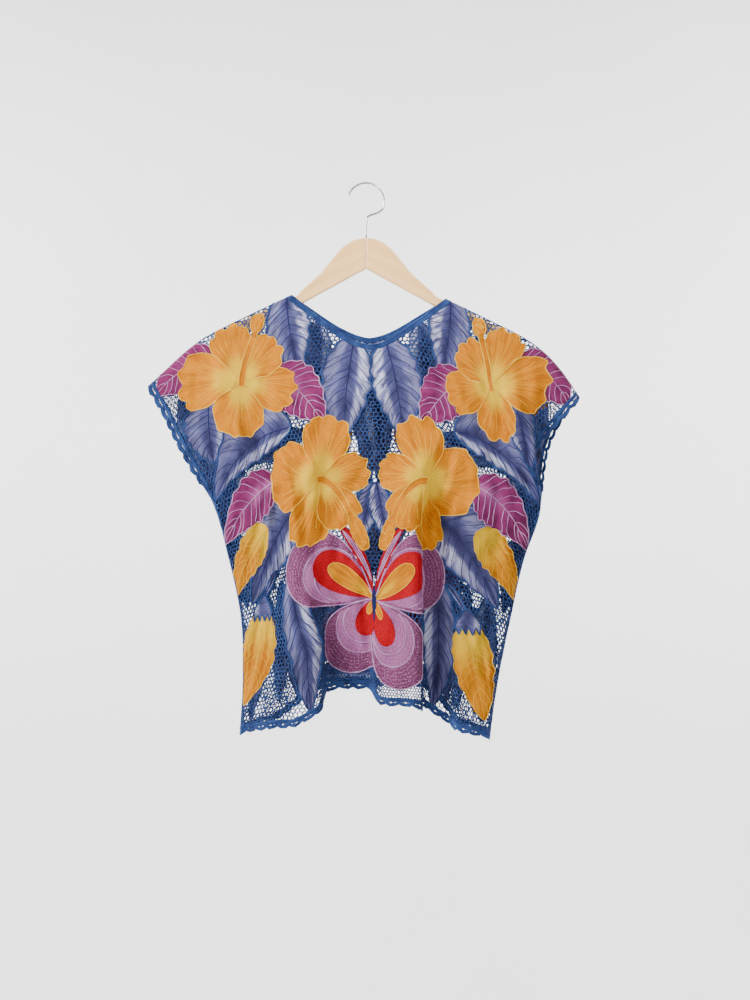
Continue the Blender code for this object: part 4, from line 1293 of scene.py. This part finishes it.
def clothMaterial(name, colourOf, roughness, sheen, stitched=1.0):
    sockets = startMaterial(name, {"Sheen Weight": sheen, "Specular IOR Level": weave["specular"]})
    place, across, below = mapped("clothMap")
    _, s, t = mapped("figureMap")
    _, tone, _ = mapped("toneMap")
    colour = colourOf(s, t, tone, place)
    warp, weft = [sine(times(way, math.tau / weave["thread"])) for way in (across, below)]
    stitch = plus(divided(below, weave["stitchGap"]), times(noise(place, 60.0, 2.0), 1.4))
    stitch = times(ranged(sine(times(stitch, math.tau)), 0.72, 1.0), stitched)
    mottle, wash = noise(place, 420.0, 4.0, 0.65), noise(place, 26.0, 3.0)
    colour = mixed(stitch, colour, (*[weave["stitchPale"]] * 3, 1.0), "MULTIPLY")
    shade = times(ranged(mottle, 0.25, 0.75, 0.86, 1.08), ranged(wash, 0.3, 0.7, 0.93, 1.05),
                  ranged(tone, 0.0, 1.0, 0.95, 1.04))
    rough = ranged(mottle, 0.3, 0.7, roughness - 0.06, roughness + 0.10)
    height = plus(times(warp, weft, 0.25), times(mottle, 0.9), times(stitch, 0.8),
                  times(noise(place, 95.0, 2.0), 2.6))
    finishMaterial(sockets, shaded(colour, shade), rough, height, weave["bump"], 0.0005)


def petalColour(s, t, tone, place):
    seed = times(tone, 37.0)
    streak = strokes(times(t, 7.0), times(s, 1.3), seed, 4.0)
    fine = strokes(times(t, 26.0), times(s, 2.4), seed, 3.0)
    body = mixed(ranged(streak, 0.36, 0.70), paint("petal"), paint("petalDeep"))
    body = mixed(ranged(fine, 0.48, 0.78, 0.0, 0.55), body, paint("petalBright"))
    reach = plus(s, times(minus(fine, 0.5), 0.42))
    return mixed(ranged(reach, 0.26, 0.58), paint("petalPale"), body)


def violetColour(s, t, tone, place):
    side, seed = absolute(t), times(tone, 23.0)
    k = minus(times(s, 10.0), times(side, 2.2))
    streak = strokes(times(k, 1.1), times(side, 1.2), seed, 4.0)
    brush = strokes(times(k, 1.8), times(side, 1.4), seed, 3.0)
    wash = noise(place, 22.0, 2.0)
    body = mixed(ranged(streak, 0.35, 0.68), paint("slate"), paint("periwinkle"))
    dark = times(ranged(side, 0.02, 0.42, 1.0, 0.0), ranged(wash, 0.35, 0.65, 0.35, 0.95))
    body = mixed(dark, body, paint("dusk"))
    light = times(ranged(side, 0.30, 0.55), ranged(side, 1.02, 0.78), ranged(t, -0.30, 0.10, 0.22, 1.0),
                  ranged(s, 0.95, 0.35, 0.25, 1.0), ranged(brush, 0.34, 0.60), 0.85)
    return mixed(light, body, paint("lilacWhite"))


def magentaColour(s, t, tone, place):
    side = absolute(t)
    k = minus(times(s, 12.0), times(side, 2.2))
    streak = strokes(k, times(side, 1.5), times(tone, 19.0), 3.0)
    body = mixed(ranged(streak, 0.34, 0.70), paint("magenta"), paint("magentaDeep"))
    return mixed(times(ranged(side, 0.55, 0.0), ranged(s, 0.75, 0.10)), body, paint("magentaPale"))


def goldColour(s, t, tone, place):
    streak = strokes(times(t, 6.0), times(s, 1.6), times(tone, 29.0), 4.0)
    body = mixed(ranged(streak, 0.38, 0.68), paint("gold"), paint("goldDeep"))
    reach = plus(s, times(minus(streak, 0.5), 0.5))
    return mixed(ranged(reach, 0.10, 0.62), paint("goldPale"), body)


def wingColour(s, t, tone, place):
    rings, grain, band = sine(times(s, 150.0)), noise(place, 470.0, 2.0), butterfly["band"]
    body = mixed(ranged(s, band - 0.01, band + 0.01), paint("mauve"), paint("plum"))
    fleck = times(ranged(grain, 0.42, 0.62), ranged(rings, -0.6, 0.8, 0.35, 1.0), 0.55)
    return mixed(fleck, body, paint("fleck"))


def redColour(s, t, tone, place):
    body = mixed(ranged(noise(place, 480.0, 3.0), 0.40, 0.66), paint("red"), paint("redDeep"))
    return mixed(ranged(s, 0.9, 0.2, 0.0, 0.35), body, paint("redDeep"))


def navyColour(s, t, tone, place):
    return mixed(noise(place, 300.0), paint("navy"), paint("denimDeep"))


clothFinishes = {  # how each is coloured, how rough it is, its sheen and how much its stitching shows
    "petalCloth": (petalColour, 0.66, 0.01), "violetLeaf": (violetColour, 0.58, 0.04, 0.5),
    "magentaLeaf": (magentaColour, 0.60, 0.03, 0.4), "goldCloth": (goldColour, 0.66, 0.01, 0.6),
    "wingCloth": (wingColour, 0.66, 0.03, 0.0), "redCloth": (redColour, 0.62, 0.02, 0.0),
    "navyCloth": (navyColour, 0.66, 0.04, 0.0),
}
threadPaints = {  # the dark and the pale paint of each
    "yellowThread": ("petalBright", "yellowThread"), "lilacThread": ("mauve", "lilacThread"),
    "navyThread": ("navy", "navyThread"), "redThread": ("redDeep", "red"),
    "denimCord": ("denimDeep", "denimPale"),
}
threadLook = {"pitch": 0.0011, "bump": 0.55, "roughness": 0.55, "sheen": 0.05}


def threadMaterial(name, dark, pale):
    dull = {"Sheen Weight": threadLook["sheen"], "Specular IOR Level": weave["specular"]}
    sockets = startMaterial(name, dull)
    _, along, around = mapped("threadMap")
    twist = sine(times(plus(divided(along, threadLook["pitch"]), around), math.tau))
    where, mean = objectPlace(), threadLook["roughness"]
    patch, fuzz = noise(where, 45.0, 3.0), noise(where, 900.0, 2.0)
    rough = ranged(fuzz, 0.3, 0.7, mean - 0.08, mean + 0.12)
    factor = plus(plus(times(twist, 0.22), patch, clamp=True), times(minus(fuzz, 0.5), 0.5))
    colour = mixed(ranged(factor, 0.2, 0.85), paint(dark), paint(pale))
    height = plus(times(twist, 0.5), times(fuzz, 0.5))
    finishMaterial(sockets, colour, rough, height, threadLook["bump"], 0.0004)


grain = {"cosine": 0.878, "sine": 0.478}  # it runs down each arm


def woodMaterial():
    sockets = startMaterial("paleWood", {"Coat Weight": 0.30, "Coat Roughness": 0.22})
    x, y, z = list(addNode("ShaderNodeSeparateXYZ", {0: objectPlace()}))
    side = absolute(x)
    along = minus(times(side, grain["cosine"]), times(z, grain["sine"]))
    over = plus(times(z, grain["cosine"]), times(side, grain["sine"]))
    wander = strokes(times(along, 3.0), times(over, 60.0), times(y, 60.0), 3.0)
    rings = sine(times(plus(times(over, 14.0), wander), 22.0))
    pores = strokes(times(along, 40.0), times(over, 900.0), 0.0, 2.0)
    dark = ranged(plus(times(rings, 0.22), times(pores, 0.5)), 0.0, 0.65)
    colour = mixed(0.45, paint("wood"), mixed(dark, paint("wood"), paint("woodDark")))
    finishMaterial(sockets, colour, ranged(pores, 0.3, 0.7, 0.36, 0.52), pores, 0.12, 0.0003)


def wireMaterial():
    sockets = startMaterial("platedWire", {"Metallic": 1.0})
    haze = noise(objectPlace(), 240.0, 3.0)
    colour = mixed(ranged(haze, 0.35, 0.7), paint("wire"), (0.42, 0.43, 0.45, 1.0))
    finishMaterial(sockets, colour, ranged(haze, 0.3, 0.7, 0.16, 0.34), haze, 0.08, 0.0002)


def wallMaterial():
    sockets = startMaterial("palePaint", {"Roughness": 0.9})
    soft = ranged(noise(objectPlace(), 1.3, 2.0), 0.3, 0.7, 0.97, 1.0)
    joined(shaded(paint("wall"), soft), sockets["Base Color"])


def makeMaterials():
    for name, row in clothFinishes.items():
        clothMaterial(name, *row)
    for name, row in threadPaints.items():
        threadMaterial(name, *row)
    woodMaterial()
    wireMaterial()
    wallMaterial()
    print("finishes:", len(materials))


# The hook of the hanger: a wire arc over the origin, down to the mitre

hook = {"wire": 0.0015, "arc": 0.0267, "tipAngle": 156.0, "lowAngle": -24.0, "knee": (0.0012, -0.0500),
        "foot": -0.0787, "ball": 0.0024, "sides": 14}


def hookLine():
    centre = (0.0, hook["wire"] - hook["arc"])
    angles = np.radians(np.linspace(hook["tipAngle"], hook["lowAngle"], 49))
    arc = stacked(centre[0] + hook["arc"] * np.cos(angles), centre[1] + hook["arc"] * np.sin(angles))
    low = arc[-1]
    t = unitSteps(14)[1:]
    knee, foot = np.array(hook["knee"]), np.array([0.0, hook["foot"]])
    bend = bentLine([low, low + [-0.0060, -0.0090], knee + [0.0006, 0.0060], knee], t)
    down = knee + (foot - knee) * unitSteps(7)[1:, None]
    return np.concatenate([arc, bend, down])


def loftFaces(rings, n):  # between one ring of n points and the next
    return [(i * n + k, i * n + (k + 1) % n, (i + 1) * n + (k + 1) % n, (i + 1) * n + k)
            for i in range(rings - 1) for k in range(n)]


def buildHook():
    line = hookLine()
    centre = stacked(line[:, 0], np.zeros(len(line)), line[:, 1])
    along = np.gradient(centre, axis=0)
    along /= np.linalg.norm(along, axis=1)[:, None]
    out = np.array([0.0, 1.0, 0.0])
    across = np.cross(along, out)
    length = lengthsAlong(line)
    reach = np.linspace(-1.0, 1.0, 9)  # the rounded ball at the tip
    ballAlong = along[0] * hook["ball"]
    ballCentres = [centre[0] + ballAlong * r for r in reach]
    ballSizes = [max(0.0002, hook["ball"] * math.sqrt(max(0.0, 1.0 - r * r))) for r in reach]
    keep = length > hook["ball"] * 1.15
    centres = np.array(ballCentres + list(centre[keep]))
    sizes = np.array([max(size, 0.0 if r < 0.2 else hook["wire"]) for size, r in zip(ballSizes, reach)]
                     + [hook["wire"]] * int(keep.sum()))
    acrosses = np.array([across[0]] * len(reach) + list(across[keep]))
    turn = math.tau * np.arange(hook["sides"]) / hook["sides"]
    ring = acrosses[:, None] * np.cos(turn)[None, :, None] + out[None, None] * np.sin(turn)[None, :, None]
    points = (centres[:, None] + ring * sizes[:, None, None]).reshape(-1, 3)
    n = hook["sides"]
    faces = loftFaces(len(centres), n)
    faces += [tuple(range(n))[::-1], tuple((len(centres) - 1) * n + k for k in range(n))]
    return addPiece(meshOf("hookWire", points.tolist(), faces), ("platedWire",), ["hook"])


# The room: a wide pale bowl that the hanger hangs in the middle of, soft lights and the camera

room = {"radius": 4.2, "floor": -2.75, "bend": 1.2, "wallTop": 2.6, "sides": 96}
middle = (0.0, 0.0, -0.42)
lightColumns = ("place", "at", "size", "power", "spread")
lights = {  # where each stands, what it looks at, how wide and strong it is, and its spread in degrees
    "key": ((-2.5, -1.6, 1.1), middle, 0.8, 185.0, 180.0),
    "fill": ((2.2, -2.6, 0.0), middle, 2.4, 4.0, 180.0),
    "back": ((1.4, 2.6, 1.0), middle, 2.0, 6.0, 180.0),
    "top": ((0.0, 0.0, 2.3), middle, 2.4, 8.0, 180.0),
    "hanger": ((0.5, -1.0, 0.7), (0.0, 0.0, -0.10), 0.3, 0.9, 32.0),
    "left wash": ((-2.3, 1.5, 0.4), (0.4, 4.2, -0.6), 1.6, 275.0, 180.0),
    "right wash": ((2.3, 1.5, 0.4), (-0.4, 4.2, -0.6), 1.6, 275.0, 180.0),
}
sky = {"colour": (0.93, 0.95, 1.0, 1.0), "strength": 0.18}
camera = {"place": (0.013, -2.2, -0.460), "lens": 54.4, "sensor": 36.0}


def buildRoom():
    bend, reach, floor = room["bend"], room["radius"] - room["bend"], room["floor"] + room["bend"]
    profile = [(reach, room["floor"])]
    profile += [(reach + bend * math.cos(a), floor + bend * math.sin(a))
                for a in np.radians(np.linspace(-90.0, 0.0, 13))[1:]]
    profile.append((room["radius"], room["wallTop"]))
    n = room["sides"]
    turn = math.tau * np.arange(n) / n
    points = [(far * math.cos(a), far * math.sin(a), height) for far, height in profile for a in turn]
    faces = [face[::-1] for face in loftFaces(len(profile), n)]
    faces += [(len(points), k, (k + 1) % n) for k in range(n)]
    mesh = meshOf("paleFloor", points + [(0.0, 0.0, room["floor"])], faces)
    mesh.materials.append(materials["palePaint"])
    addObject("paleFloor", mesh)


def aimed(item, place, target):
    item.location = place
    item.rotation_euler = (Vector(target) - Vector(place)).to_track_quat("-Z", "Y").to_euler()


def buildLights():
    for name, light in zip(lights, rowsOf(lightColumns, lights.values())):
        data = bpy.data.lights.new(name, "AREA")
        data.shape, data.size = "SQUARE", light["size"]
        data.energy, data.spread = light["power"], math.radians(light["spread"])
        aimed(addObject(name, data), light["place"], light["at"])
    world = bpy.data.worlds.new("paleSky")
    world.use_nodes = True
    background = world.node_tree.nodes["Background"].inputs
    background["Color"].default_value = sky["colour"]
    background["Strength"].default_value = sky["strength"]
    bpy.context.scene.world = world


def buildCamera():
    data = bpy.data.cameras.new("camera")
    data.lens, data.sensor_width = camera["lens"], camera["sensor"]
    item = addObject("camera", data)
    aimed(item, camera["place"], (camera["place"][0], 0.0, camera["place"][2]))
    bpy.context.scene.camera = item


# Putting it together

buildCamera()
buildLights()
makeMaterials()
buildRoom()
edgings = buildEdgings()
buildSeams()
buildHook()
for arm in ("hanger_arm_left", "hanger_arm_right"):
    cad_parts[arm].data.materials.clear()
    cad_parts[arm].data.materials.append(materials["paleWood"])

for side in ("front", "back"):
    figures = drawFigures(side)
    cloth, clothArea = buildCloth(side, figures)
    threads = buildThreads(side, figures)
    netting = buildNet(side, figures)
